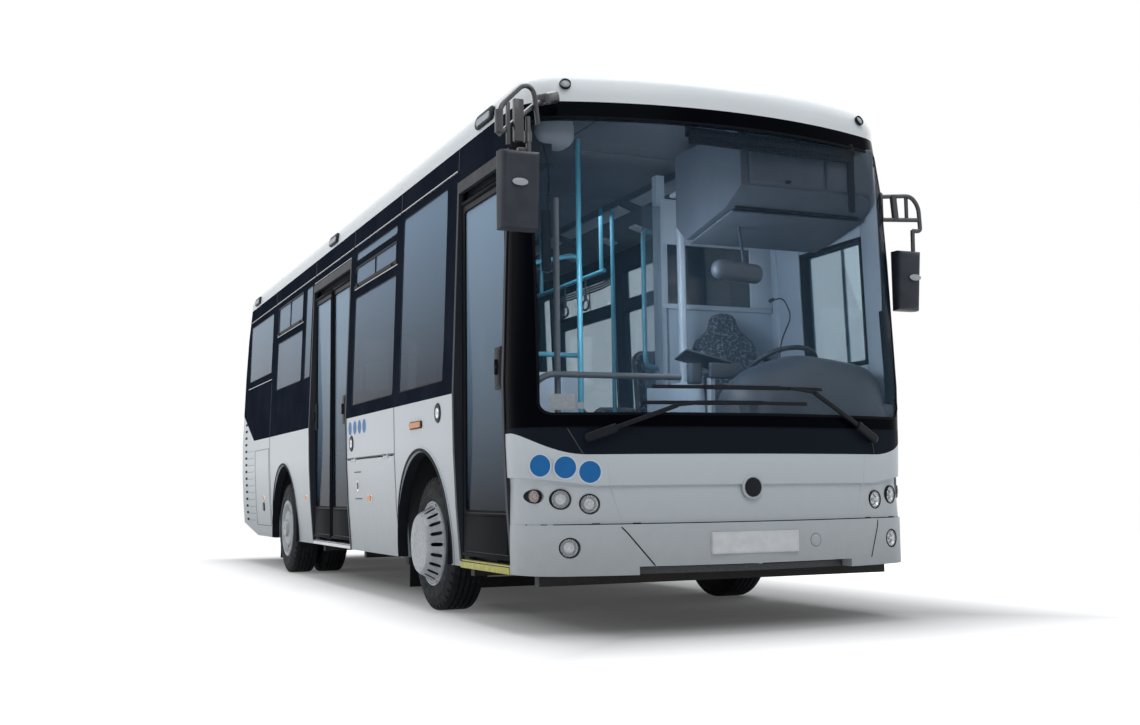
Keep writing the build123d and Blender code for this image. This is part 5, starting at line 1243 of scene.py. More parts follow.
HEADER_Z = 2.520
portal_mesh = bmesh.new()
for front, rear in PORTALS:
    for height in (HEADER_Z - 0.022, HEADER_Z, HEADER_Z + 0.022):
        laid_strip(portal_mesh, "right", [(front + 0.004, height), (rear - 0.004, height)], 0.016, 0.007,
                   step=0.3)
    for jamb in (front + 0.008, rear - 0.008):
        laid_strip(portal_mesh, "right", [(jamb, SILL_Z[0] + 0.04), (jamb, HEADER_Z - 0.04)], 0.010, 0.005,
                   step=0.2)
portal_trim = Finish("pale header rail", (0.16, 0.17, 0.19), 0.4, 0.5)
portal_trim.mottle((0.13, 0.14, 0.16), (0.20, 0.21, 0.23), 25)
show("portal_rails", portal_mesh, portal_trim, "body")

SILL_X = -1.152
sills = bmesh.new()
for front, rear in PORTALS:
    middle = (front + rear) / 2
    long = rear - front - 0.07
    rounded_bar(sills, (0.010, long, 0.026), (SILL_X - 0.004, middle, sum(SILL_Z) / 2 - 0.001), 0.003, 2)
    rounded_bar(sills, (0.060, long, 0.006), (SILL_X + 0.030, middle, SILL_Z[1] + 0.001), 0.002, 2)
piece = show("door_sills", sills, bright, "body")
NOSING_Y, NOSING_LENGTH = -3.630, 0.790
nosing = bars(
    ((0.014, NOSING_LENGTH, 0.034), (SILL_X - 0.010, NOSING_Y, SILL_Z[1] - 0.020), 0.004, 2),
    ((0.046, NOSING_LENGTH, 0.006), (SILL_X + 0.014, NOSING_Y, SILL_Z[1] + 0.006), 0.002, 2),
)
show("yellow_nosing", nosing, safety_yellow, "body")
treads = bmesh.new()
for front, rear in PORTALS:
    for number in range(6):
        rounded_bar(treads, (0.012, rear - front - 0.10, 0.004),
                    (SILL_X + 0.075 + number * 0.022, (front + rear) / 2, SILL_Z[1] + 0.0015), 0.0015, 1)
show("step_treads", treads, lamp_black, "body")

# ---------------------------------------------------------------- running gear and underside
# Welded and cast steel under black chassis paint, dulled by road dirt.
chassis_black = Finish("chassis paint", (0.020, 0.021, 0.023), 0.65, Specular_IOR_Level=0.25)
grime = chassis_black.speckle(6, 6, edges=(0.35, 0.7))
chassis_black.colours(grime, (0.012, 0.013, 0.015), (0.050, 0.047, 0.042))
chassis_black.gloss(grime, 0.5, 0.85)
chassis_black.grain(0.0006, 120, 3)
chassis_black.put_on("chassis_frame", "front_axle", "rear_axle", "knuckle_right", "knuckle_left",
                     "engine_block")

# ---------------------------------------------------------------- floor and linings
# Speckled dark vinyl covers the floor, steps and wheel boxes. The walls, ceiling and cab are lined with
# grey moulded panels, and two rows of ceiling lamps and air outlets run along the roof. The ceiling panels are
# painted dark, as painted shade.
vinyl = Finish("speckled floor vinyl", (0.050, 0.053, 0.060), 0.6)
vinyl.mottle((0.036, 0.039, 0.046), (0.095, 0.100, 0.110), 420, 1, edges=(0.52, 0.62))
vinyl.grain(0.0003, 300, 1)
vinyl.put_on("floor_front", "floor_rear", "wheel_boxes")
lining = Finish("grey cab lining", (0.40, 0.49, 0.59), 0.55)
lining.mottle((0.360, 0.450, 0.550), (0.440, 0.540, 0.650), 3, 4, edges=(0.3, 0.7))
lining.grain(0.0002, 600, 2)
lining.put_on("cab_partition")
dash_grain = Finish("grained dash plastic", (0.055, 0.068, 0.088), 0.5)
dash_grain.mottle((0.045, 0.062, 0.088), (0.070, 0.092, 0.124), 4, 4, edges=(0.3, 0.7))
dash_grain.grain(0.0003, 700, 2)
dash_grain.put_on("dashboard")
# painted shade: the ceiling panels get a dark blue-grey for the dim light inside
ceiling = Finish("ceiling panel in painted shade", (0.085, 0.105, 0.135), 0.6)
ceiling.mottle((0.075, 0.093, 0.120), (0.100, 0.122, 0.155), 2, 3, edges=(0.3, 0.7))
pale_diffuser = Finish("lamp diffuser", (0.42, 0.47, 0.53), 0.4)
pale_diffuser.mottle((0.38, 0.43, 0.49), (0.46, 0.51, 0.57), 9)

CEILING_Z = 2.872
COVE_LEAN = 17           # degrees
CEILING_YS = (-4.02, -3.10, -1.93, -0.62, 0.78, 2.60, 4.05)
ceiling_mesh = bmesh.new()
for front, rear in zip(CEILING_YS, CEILING_YS[1:]):
    middle, length = (front + rear) / 2, rear - front - 0.012
    rounded_bar(ceiling_mesh, (0.98, length, 0.012), (0, middle, CEILING_Z), 0.004, 2)
    for hand in (-1, 1):
        cove = turned(hand * COVE_LEAN, "Y")
        rounded_bar(ceiling_mesh, (0.56, length, 0.012), (hand * 0.765, middle, CEILING_Z - 0.078),
                    0.004, 2, cove)
show("ceiling_panels", ceiling_mesh, ceiling, "body")
fittings = bmesh.new()
for front, rear in zip(CEILING_YS[1:], CEILING_YS[2:]):
    middle, length = (front + rear) / 2, rear - front - 0.20
    for hand in (-1, 1):
        cove = turned(hand * COVE_LEAN, "Y")
        rounded_bar(fittings, (0.110, length, 0.016), (hand * 0.60, middle, CEILING_Z - 0.040),
                    0.006, 3, cove)
        for step in (-0.25, 0.25):
            rounded_bar(fittings, (0.12, 0.12, 0.016),
                        (hand * 0.86, middle + step * length, CEILING_Z - 0.119), 0.005, 2, cove)
show("ceiling_lamps_and_outlets", fittings, pale_diffuser, "body")

walls = bmesh.new()
WALL_TOP_Z = 1.385
WALL_LININGS = (
    # side, front edge, rear edge, foot
    (-1, -3.17, -1.24, 1.04), (-1, -1.24, -0.62, 0.36), (-1, 0.84, 3.40, 1.02),
    (1, -3.02, -1.24, 1.02), (1, -1.24, 0.74, 0.36), (1, 0.74, 3.40, 1.02),
)
for hand, front, rear, bottom in WALL_LININGS:
    middle, long = (front + rear) / 2, rear - front - 0.01
    rounded_bar(walls, (0.012, long, WALL_TOP_Z - bottom),
                (hand * 1.132, middle, (WALL_TOP_Z + bottom) / 2), 0.004, 2)
    rounded_bar(walls, (0.040, long, 0.030), (hand * 1.120, middle, WALL_TOP_Z), 0.010, 3)
show("wall_linings", walls, lining, "body")

# ---------------------------------------------------------------- passenger seats
# Moulded grey seat shells on feet, with woven pads on seat and back. The pads swell a little between
# their edges, as foam under tight cloth does.
SEAT_ROWS = (
    # middle of the first and the second seat across, front edge along, top of the cushion
    ((-0.860, -0.420), -1.620, 0.770), ((-0.860,), 1.420, 1.162), ((-0.860,), 2.100, 1.162),
    ((-0.860, -0.420), 2.720, 1.170), ((0.860,), -2.980, 1.145), ((0.860,), -2.340, 1.145),
    ((0.860, 0.420), -1.620, 0.770), ((0.860, 0.420), -0.860, 0.770), ((0.860,), 1.420, 1.162),
    ((0.860,), 2.100, 1.162), ((0.860, 0.420), 2.720, 1.170),
    ((-0.880, -0.440, 0.0, 0.440, 0.880), 3.435, 1.300),
)
CUSHION_SIZE = (0.396, 0.380, 0.046)
BACK_SIZE = (0.392, 0.620, 0.038)
BACK_LEAN = 8            # degrees
SEAT_SLOPE = turned(-2.8, "X")
CLOTH_FRAMES = 20

weave = Finish("patterned seat cloth", (0.03, 0.035, 0.045), 0.85, Specular_IOR_Level=0.2, Sheen_Weight=0.15)


def labyrinth(finish, dark, pale, scale):
    """A cloth pattern of short square-cornered pale strokes on a dark ground."""
    askew = finish.node("Mapping", {"Vector": finish.place, "Rotation": (0.0, 0.12, 0.0)}).outputs[0]
    cells = {"Vector": askew, "Scale": scale}
    near = finish.node("TexVoronoi", cells, distance="CHEBYCHEV", feature="F1")
    next_near = finish.node("TexVoronoi", cells, distance="CHEBYCHEV", feature="F2")
    edge = finish.sum("SUBTRACT", next_near.outputs["Distance"], near.outputs["Distance"])
    stroke = finish.span(edge, 0.05, 0.10, 1, 0)
    broken = finish.sum("MULTIPLY", stroke, finish.span(finish.speckle(scale * 1.6, 0), 0.44, 0.50))
    finish.colours(broken, dark, pale)
    finish.grain(0.0004, 900, 1)


labyrinth(weave, (0.034, 0.045, 0.062), (0.15, 0.19, 0.24), 30)


def evened(made, voxel):
    """A closed mesh made over into small even faces."""
    blank = placed("pad", as_data(made))
    remesh = blank.modifiers.new("even", "REMESH")
    remesh.mode = "VOXEL"
    remesh.voxel_size = voxel
    return finished(blank)


def pad_blank(size, voxel, corner=0.05):
    """A closed slab with rounded corners and small even faces, lying flat at the origin."""
    made = block(size)
    rounded(made, edges_along(made, "z"), corner, 5)
    return evened(made, voxel)


def plumped(data, cap, pressure=4.0):
    """Swell a pad as cloth under pressure, and hold every point within cap of where it began."""
    pad = placed("pad", data)
    cloth = pad.modifiers.new("cloth", "CLOTH")
    cloth.settings.use_pressure = True
    cloth.settings.uniform_pressure_force = pressure
    cloth.settings.effector_weights.gravity = 0
    cloth.settings.quality = 4
    cloth.point_cache.frame_start = 1
    cloth.point_cache.frame_end = CLOTH_FRAMES
    for number in range(CLOTH_FRAMES):
        bpy.context.scene.frame_set(number + 1)
    swollen = finished(pad)
    for point, began in zip(swollen.vertices, data.vertices):
        moved = point.co - began.co
        if moved.length > cap:
            point.co = began.co + moved.normalized() * cap
    bpy.context.scene.frame_set(1)
    return swollen


def placed_copies(data, places):
    """One mesh of copies of a mesh, each at its own place."""
    joined = bmesh.new()
    for place in places:
        copy = data.copy()
        copy.transform(place)
        joined.from_mesh(copy)
        bpy.data.meshes.remove(copy)
    return joined


seats = [(x, front_y, top) for xs, front_y, top in SEAT_ROWS for x in xs]
cushion = plumped(pad_blank(CUSHION_SIZE, 0.012), 0.010)
cushion_places = [Matrix.Translation((x, y + 0.192, top - 0.026)) @ SEAT_SLOPE for x, y, top in seats]
back = plumped(pad_blank(BACK_SIZE, 0.012, 0.09), 0.010)
back_places = [Matrix.Translation((x, y + 0.472, top + 0.312)) @ turned(90 - BACK_LEAN, "X")
               for x, y, top in seats]
for name, data, places in (("seat_cushions", cushion, cushion_places), ("seat_backs", back, back_places)):
    piece = show(name, placed_copies(data, places), weave, "body", smooth=60)

seat_grey = Finish("seat shell plastic", (0.060, 0.068, 0.082), 0.5)
seat_grey.mottle((0.050, 0.057, 0.070), (0.078, 0.087, 0.103), 6, 4, edges=(0.3, 0.7))
seat_grey.grain(0.0002, 800, 1)


def add_shell(shells, x, front_y, top, foot_z):
    """One seat shell: pan, leaning back with rounded shoulders, and foot."""
    rounded_bar(shells, (0.400, 0.400, 0.026), (x, front_y + 0.200, top - 0.064), 0.010, 3, SEAT_SLOPE)
    back = block((0.400, 0.030, 0.680))
    rounded(back, [edge for edge in edges_along(back, "y") if edge.verts[0].co.z > 0], 0.085, 6)
    outer = [edge for edge in back.edges if edge.calc_length() > 0.001 and len(edge.link_faces) == 2
             and edge.calc_face_angle() > 1.0]
    rounded(back, outer, 0.008, 2)
    back.transform(Matrix.Translation((x, front_y + 0.500, top + 0.285)) @ turned(-BACK_LEAN, "X"))
    merge(shells, back)
    foot_top = top - 0.08
    rounded_bar(shells, (0.160, 0.200, foot_top - foot_z), (x, front_y + 0.225, (foot_top + foot_z) / 2),
                0.020, 3)


# where the foot of a seat stands, by the height of its cushion
FOOT_Z = {0.770: 0.342, 1.162: 1.043, 1.170: 0.742, 1.145: 1.026, 1.300: 1.181}
shells = bmesh.new()
for x, front_y, top in seats:
    add_shell(shells, x, front_y, top, FOOT_Z[top])
piece = show("seat_shells", shells, seat_grey, "body", smooth=35)
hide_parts("seats_right", "seats_left", "seats_rear")

# ---------------------------------------------------------------- handrails and strap hangers
# Steel tubes under blue powder paint, some of them behind the parked leaf of the front door, two plain
# grey tubes at the front stairwell, and strap loops that hang on webbing from the grab rails.
rail_blue = Finish("blue rail paint", (0.07, 0.33, 0.46), 0.4, Coat_Weight=0.2)
rail_blue.mottle((0.06, 0.30, 0.42), (0.09, 0.38, 0.51), 12, 4)
rail_blue.put_on("handrails")
rail_grey = Finish("grey tube paint", (0.20, 0.23, 0.27), 0.4)
rail_grey.mottle((0.17, 0.20, 0.24), (0.24, 0.27, 0.31), 12, 4)
strap_black = Finish("strap plastic", (0.014, 0.016, 0.019), 0.45)
strap_black.mottle((0.010, 0.012, 0.015), (0.024, 0.027, 0.032), 40)

blue_loop = smooth_path(((0.200, -3.045, 2.392), (0.140, -3.060, 2.392), (0.125, -3.075, 2.330),
                         (0.125, -3.075, 1.560), (0.150, -3.060, 1.520), (0.250, -3.030, 1.505)), 0.10, 8)
door_rail = smooth_path(((-1.060, -3.070, 1.000), (-1.060, -3.070, 1.950), (-0.960, -3.070, 2.060),
                         (-0.320, -3.070, 2.210), (-0.320, -3.070, 0.350)), 0.08, 8)
low_rail = [(-1.060, -3.070, 1.570), (-0.320, -3.070, 1.570)]
blue = bmesh.new()
blue.from_mesh(tube_mesh([blue_loop, door_rail, low_rail], 0.015, 14))
piece = show("blue_cab_rails", blue, rail_blue, "body")
front_rail = smooth_path(((-1.080, -4.085, 0.720), (-1.085, -4.100, 1.240), (-1.000, -4.120, 1.345),
                          (-0.196, -4.130, 1.345)), 0.12, 8)
upright = [(-0.905, -4.080, 0.345), (-0.905, -4.080, 2.300)]
grey = bmesh.new()
grey.from_mesh(tube_mesh([front_rail, upright], 0.017, 14))
show("grey_front_rails", grey, rail_grey, "body")

STRAPS = ((0.490, -1.35), (0.490, -0.95), (0.490, -0.15), (0.490, 0.25), (-0.490, -1.20))
straps = bmesh.new()
for x, y in STRAPS:
    for bar in (
        ((0.020, 0.034, 0.040), (x, y, 2.372), 0.008, 3),
        ((0.004, 0.022, 0.130), (x, y, 2.300), 0.0015, 1),
        ((0.016, 0.030, 0.050), (x, y, 2.225), 0.006, 3),
    ):
        rounded_bar(straps, *bar)
    loop = [(x, y + 0.058 * cos(a), 2.160 + (0.046 if sin(a) > 0 else 0.034) * sin(a))
            for a in (2 * pi * n / 28 for n in range(28))]
    straps.from_mesh(tube_mesh([loop], 0.0085, 10, closed=True))
show("strap_hangers", straps, strap_black, "body")

# ---------------------------------------------------------------- driver's seat
# A sprung seat on a bellows foot, with a narrow-headed back. Seat and back are upholstered in a cloth
# with the pattern of the passenger seats, and an armrest stands at its window side.
DRIVER_X = 0.620
DRIVER_SEAT_Y = -3.480
CAB_FLOOR_Z = 0.660
DRIVER_LEAN = turned(-5.5, "X")
BACK_OUTLINE = (
    # half width and height over the seat, from the foot of the back to the top of its head
    (0.200, 0.030), (0.222, 0.100), (0.236, 0.350), (0.240, 0.520), (0.234, 0.580), (0.208, 0.628),
    (0.160, 0.668), (0.122, 0.702), (0.102, 0.740), (0.090, 0.775), (0.066, 0.802), (0.030, 0.812),
)


def outline_blank(outline, thickness, voxel):
    """A closed pad cut to a symmetrical outline and remeshed into small even faces."""
    made = bmesh.new()
    whole = [*outline, *((-across, height) for across, height in reversed(outline))]
    ring = [made.verts.new((across, -thickness / 2, height)) for across, height in whole]
    extruded = bmesh.ops.extrude_face_region(made, geom=[made.faces.new(ring)])
    moved = [item for item in extruded["geom"] if isinstance(item, bmesh.types.BMVert)]
    bmesh.ops.translate(made, vec=(0, thickness, 0), verts=moved)
    bmesh.ops.recalc_face_normals(made, faces=made.faces)
    return evened(made, voxel)


driver_cloth = Finish("driver seat cloth", (0.03, 0.035, 0.045), 0.85, Specular_IOR_Level=0.2,
                      Sheen_Weight=0.15)
labyrinth(driver_cloth, (0.050, 0.066, 0.090), (0.17, 0.21, 0.26), 32)
driver_back = plumped(outline_blank(BACK_OUTLINE, 0.062, 0.007), 0.016)
back_foot = Matrix.Translation((DRIVER_X, DRIVER_SEAT_Y + 0.205, CAB_FLOOR_Z + 0.400))
driver_back.transform(back_foot @ DRIVER_LEAN)
driver_pad = plumped(pad_blank((0.450, 0.450, 0.085), 0.007, 0.07), 0.016)
driver_pad.transform(Matrix.Translation((DRIVER_X, DRIVER_SEAT_Y - 0.025, CAB_FLOOR_Z + 0.362)))
for name, data in (("driver_back_pad", driver_back), ("driver_seat_pad", driver_pad)):
    piece = show(name, data, driver_cloth, "body", smooth=60)
FOLD_HEIGHT = 0.044      # of the bellows
foot = bmesh.new()
for number in range(6):
    tuck = 0.010 * (number % 2)
    rounded_bar(foot, (0.285 - tuck, 0.300 - tuck, FOLD_HEIGHT),
                (DRIVER_X, DRIVER_SEAT_Y, CAB_FLOOR_Z + 0.030 + FOLD_HEIGHT * number), 0.018, 3)
for bar in (
    ((0.420, 0.430, 0.036), (DRIVER_X, DRIVER_SEAT_Y - 0.020, CAB_FLOOR_Z + 0.296), 0.012, 3),
    ((0.400, 0.030, 0.420), (DRIVER_X, DRIVER_SEAT_Y + 0.262, CAB_FLOOR_Z + 0.600), 0.012, 3, DRIVER_LEAN),
    ((0.055, 0.240, 0.050), (DRIVER_X + 0.190, DRIVER_SEAT_Y + 0.090, CAB_FLOOR_Z + 0.620), 0.022, 4),
):
    rounded_bar(foot, *bar)
piece = show("driver_seat_base", foot, seat_grey, "body")
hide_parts("driver_seat")

# ---------------------------------------------------------------- steering wheel and dash
# A three-spoke moulded wheel on a raked column, behind a domed hood over the gauges. A ticket tray on
# a stalk stands at the aisle end of the dash, with a small microphone on a gooseneck by the driver.
WHEEL_MIDDLE = Vector((0.620, -3.880, 1.440))
WHEEL_RAKE = Matrix.Translation(WHEEL_MIDDLE) @ turned(-30, "X")
GRIP_RADIUS = 0.210
wheel_mesh = bmesh.new()
rim_line = [WHEEL_RAKE @ Vector((GRIP_RADIUS * cos(a), GRIP_RADIUS * sin(a), 0))
            for a in (2 * pi * n / 64 for n in range(64))]
wheel_mesh.from_mesh(tube_mesh([rim_line], 0.0145, 14, closed=True))
for turn in (90, 210, 330):
    spoke = WHEEL_RAKE @ turned(turn, "Z") @ Matrix.Translation((0.125, 0, -0.004))
    rounded_bar(wheel_mesh, (0.170, 0.034, 0.014), (0, 0, 0), 0.006, 3, spoke)
HUB = ((0.0, 0.014), (0.6, 0.012), (0.9, 0.004), (1.0, -0.010), (0.9, -0.030), (0.55, -0.050),
       (0.5, -0.240), (0.0, -0.240))
wheel_axis = (WHEEL_RAKE.to_3x3() @ Vector((0, 0, 1))).normalized()
turned_on_skin(wheel_mesh, HUB, 0.060, WHEEL_MIDDLE, wheel_axis, 0)
piece = show("steering_wheel_grip", wheel_mesh, grained_black, "body")
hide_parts("steering_wheel")

DASH_TOP = (
    # across, height of the top of the dash as seen from the front
    (0.105, 1.240), (0.160, 1.330), (0.230, 1.390), (0.330, 1.430), (0.450, 1.468), (0.568, 1.490),
    (0.700, 1.482), (0.860, 1.462), (0.980, 1.440), (1.060, 1.400), (1.098, 1.320), (1.104, 1.240),
)
DASH_SLICES = (
    # along the bus, share of the hood's height there, share of its width
    (-4.335, 0.10, 0.76), (-4.290, 0.55, 0.84), (-4.220, 0.90, 0.93), (-4.130, 1.00, 1.00),
    (-4.050, 0.98, 1.00), (-4.010, 0.86, 1.00), (-4.000, 0.60, 0.98), (-4.000, 0.0, 0.98),
)
DASH_X, HOOD_FOOT_Z, DASH_FOOT_Z = 0.62, 1.180, 0.900
dash_mesh = bmesh.new()
slices = []
for y, rise, width in DASH_SLICES:
    ring = [(DASH_X + (x - DASH_X) * width, HOOD_FOOT_Z + (z - HOOD_FOOT_Z) * rise) for x, z in DASH_TOP]
    ring += [(DASH_X + (x - DASH_X) * width, DASH_FOOT_Z) for x in (DASH_TOP[-1][0], DASH_TOP[0][0])]
    slices.append([dash_mesh.verts.new((x, y, z)) for x, z in ring])
skin_rings(dash_mesh, slices)
bmesh.ops.subdivide_edges(dash_mesh, edges=dash_mesh.edges[:], cuts=1, smooth=0.6, use_grid_fill=True)
rounded_bar(dash_mesh, (0.990, 0.330, 0.560), (0.615, -4.140, 0.930), 0.030, 4)
piece = show("dash_moulding", dash_mesh, dash_grain, "body", smooth=50)
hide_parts("dashboard")
tray_tilt = turned(-16, "X") @ turned(14, "Y")
desk = bars(
    ((0.290, 0.150, 0.014), (0.045, -3.960, 1.462), 0.005, 3, tray_tilt),
    ((0.075, 0.060, 0.120), (-0.010, -3.955, 1.385), 0.012, 3),
    ((0.200, 0.030, 0.090), (0.150, -4.020, 1.400), 0.010, 3),
    ((0.030, 0.030, 0.700), (0.070, -3.960, 1.040), 0.010, 3),
)
piece = show("ticket_tray", desk, dash_grain, "body")
switches = bmesh.new()
SWITCH_STEP = 0.034
for number in range(8):
    rounded_bar(switches, (0.026, 0.014, 0.020), (0.300 + SWITCH_STEP * number, -4.024, 1.262), 0.004, 2)
rounded_bar(switches, (0.260, 0.012, 0.090), (0.780, -4.030, 1.400), 0.006, 2)
show("dash_switches", switches, lamp_black, "body")

neck = smooth_path(((0.655, -3.790, 1.360), (0.680, -3.780, 1.600), (0.790, -3.750, 1.780),
                    (0.740, -3.735, 1.890), (0.668, -3.730, 1.872)), 0.08, 8)
neck_mesh = bmesh.new()
neck_mesh.from_mesh(tube_mesh([neck], 0.0045, 8))
neck_mesh.from_mesh(tube_mesh([[(0.676, -3.730, 1.877), (0.646, -3.729, 1.864)]], 0.011, 12))
neck_mesh.from_mesh(tube_mesh([[(0.650, -3.792, 1.340), (0.672, -3.783, 1.560)]], 0.009, 10))
show("gooseneck_microphone", neck_mesh, strap_black, "body")

# ---------------------------------------------------------------- overhead locker, blind and mirror pod
# A moulded locker with two lids hangs over the driver. Along the top of the screen run a rolled blind
# and its black guide rails, and a long pill-shaped mirror pod hangs under the locker.
locker_grey = Finish("locker moulding", (0.10, 0.12, 0.155), 0.6, Specular_IOR_Level=0.1)
locker_grey.mottle((0.085, 0.105, 0.135), (0.115, 0.140, 0.175), 8, 3)
locker_grey.grain(0.0002, 400)
locker_grey.put_on("overhead_console")
bin_tilt = turned(2, "X")
locker = bars(
    ((0.500, 0.050, 0.270), (0.435, -4.268, 2.565), 0.022, 4, bin_tilt),
    ((0.330, 0.050, 0.270), (0.865, -4.268, 2.565), 0.022, 4, bin_tilt),
    ((0.900, 0.500, 0.014), (0.620, -3.860, 2.262), 0.006, 3, turned(-11, "X")),
)
show("locker_lids", locker, locker_grey, "body")
locker_trim = bmesh.new()
locker_trim.from_mesh(tube_mesh([[(0.190, -4.115, 2.328), (1.030, -4.115, 2.328)]], 0.007, 8))
for x in (0.430, 0.870):
    rounded_bar(locker_trim, (0.030, 0.020, 0.016), (x, -4.300, 2.452), 0.004, 2)
show("locker_trim", locker_trim, lamp_black, "body")

BLIND_ENDS = ((-0.250, -4.375, 2.655), (0.860, -4.312, 2.655))
blind = bars(
    ((1.090, 0.020, 0.040), (0.300, -4.345, 2.612), 0.006, 2, turned(3.2, "Z")),
    ((0.044, 0.016, 0.370), (0.856, -4.302, 2.495), 0.005, 2),
    *(((0.026, 0.056, 0.070), (x, -4.372 + 0.0567 * (x + 0.25), 2.668), 0.006, 2)
      for x in (-0.240, 0.100, 0.480, 0.840)),
)
blind.from_mesh(tube_mesh([BLIND_ENDS], 0.030, 16))
show("screen_blind", blind, frame_black, "body")

pod = bars(
    ((0.320, 0.100, 0.112), (0.172, -4.150, 1.950), 0.0490, 7, turned(4, "Y")),
    ((0.040, 0.012, 0.034), (0.190, -4.190, 1.955), 0.005, 2),
)
pod.from_mesh(tube_mesh([smooth_path(((0.240, -4.120, 1.970), (0.300, -4.000, 2.100),
                                      (0.340, -3.900, 2.262)), 0.06)], 0.010, 10))
show("mirror_pod", pod, dash_grain, "body")

# ---------------------------------------------------------------- cab screen, notice and small cab fittings
# Behind the driver stands a framed dark glass screen beside a pale post. A modesty panel stands behind the
# stairwell, a blank notice is stuck low on the windscreen, and a display hangs by the door pillar.
CAB_BACK_Y = -3.040
GLASS_SHEET = 0.008
smoked = Finish("smoked screen glass", (0.035, 0.048, 0.065), 0.08, Alpha=0.75)
smoked.wear(0.05, 0.15, 6)
screen_mesh = bars(((0.660, GLASS_SHEET, 0.400), (0.610, CAB_BACK_Y, 2.120), 0.003, 2))
piece = show("cab_screen_glass", screen_mesh, smoked, "body")
clear_pane = Finish("clear cab pane", (0.10, 0.15, 0.20), 0.05, Alpha=0.22, Specular_IOR_Level=0.2)
clear_pane.wear(0.03, 0.10, 6)
pane_mesh = bars(((0.130, GLASS_SHEET, 1.300), (0.170, -3.105, 1.900), 0.003, 2))
piece = show("cab_entry_pane", pane_mesh, clear_pane, "body")
pale_post = Finish("pale post", (0.44, 0.53, 0.62), 0.5)
pale_post.mottle((0.41, 0.49, 0.58), (0.48, 0.57, 0.67), 10)
posts = bars(
    # size, place, rounding and segments: the post with its head and foot, then the frame of the screen
    ((0.046, 0.046, 1.300), (0.262, -3.330, 1.930), 0.012, 3),
    ((0.060, 0.120, 0.030), (0.262, -3.300, 2.590), 0.010, 3),
    ((0.030, 0.020, 0.380), (0.300, -3.290, 1.480), 0.006, 2),
    ((0.840, 0.024, 0.034), (0.680, CAB_BACK_Y, 1.915), 0.008, 3),
    ((0.850, 0.024, 0.300), (0.690, CAB_BACK_Y, 2.470), 0.008, 3),
    ((0.180, 0.024, 0.400), (1.020, CAB_BACK_Y, 2.130), 0.008, 3),
    ((0.050, 0.024, 0.400), (0.290, CAB_BACK_Y, 2.130), 0.008, 3),
)
show("cab_posts", posts, pale_post, "body")
panel_mesh = bars(((0.740, 0.020, 0.420), (-0.690, -3.070, 1.250), 0.008, 3))
show("modesty_panel", panel_mesh, pale_post, "body")

paper = Finish("blank notice paper", (0.55, 0.58, 0.60), 0.8)
paper.mottle((0.52, 0.55, 0.57), (0.62, 0.65, 0.67), 60, 4, (1, 1, 3), edges=(0.45, 0.65))
notice = bmesh.new()
screen_skin = skin_of("windscreen")
PAPER_THICKNESS = 0.0006
for left, right, bottom, top in ((-1.062, -0.935, 1.140, 1.222), (-0.925, -0.893, 1.146, 1.178)):
    corners = [landing("front", x, z, screen_skin)[0] + Vector((0, 0.009, 0))
               for x, z in ((left, bottom), (right, bottom), (right, top), (left, top))]
    skin_rings(notice, [[notice.verts.new(corner + Vector((0, back, 0))) for corner in corners]
                        for back in (0, PAPER_THICKNESS)])
show("blank_notice", notice, paper, "body", smooth=0)

pillar = bmesh.new()
rounded_bar(pillar, (0.052, 0.024, 0.330), (-1.012, -4.200, 2.040), 0.008, 3)
pillar.from_mesh(tube_mesh([smooth_path(((-1.000, -4.195, 2.200), (-0.985, -4.190, 2.420),
                                         (-1.010, -4.170, 2.560)), 0.05)], 0.004, 6))
show("pillar_display", pillar, frame_black, "body")
hood = bars(((0.250, 0.190, 0.180), (-0.925, -4.060, 2.665), 0.070, 6))
show("route_lamp_box", hood, pale_post, "body")

CAB_WALLS = (
    # front, rear, bottom and top of the linings round the driver's window
    (-3.385, -2.960, 0.90, 2.62), (-4.050, -3.385, 2.235, 2.62), (-4.050, -3.385, 0.90, 1.462),
    (-4.215, -4.050, 1.10, 2.62),
)
WALL_LEAN = turned(-1.9, "Y")
cab_wall = bmesh.new()
for front, rear, bottom, top in CAB_WALLS:
    middle_z = (bottom + top) / 2
    rounded_bar(cab_wall, (0.010, rear - front - 0.004, top - bottom),
                (1.130 - 0.033 * (middle_z - WAIST_Z), (front + rear) / 2, middle_z), 0.004, 2, WALL_LEAN)
rounded_bar(cab_wall, (0.020, 0.060, 1.500), (1.105, -3.100, 1.850), 0.008, 3, WALL_LEAN)
show("cab_wall_lining", cab_wall, lining, "body")
window_frame = bmesh.new()
left_pane = rounded_outline(-4.030, -3.400, 1.480, 2.220, 0.024)
laid_strip(window_frame, "left", left_pane, 0.022, 0.006, step=0.2)
laid_strip(window_frame, "left", [(-3.760, 1.480), (-3.760, 2.220)], 0.030, 0.008, step=0.2)
inner = [(1.134 - 0.0328 * (z - 1.4), y, z) for y, z in left_pane]
window_frame.from_mesh(tube_mesh([inner], 0.013, 8))
show("driver_window_frame", window_frame, frame_black, "body")

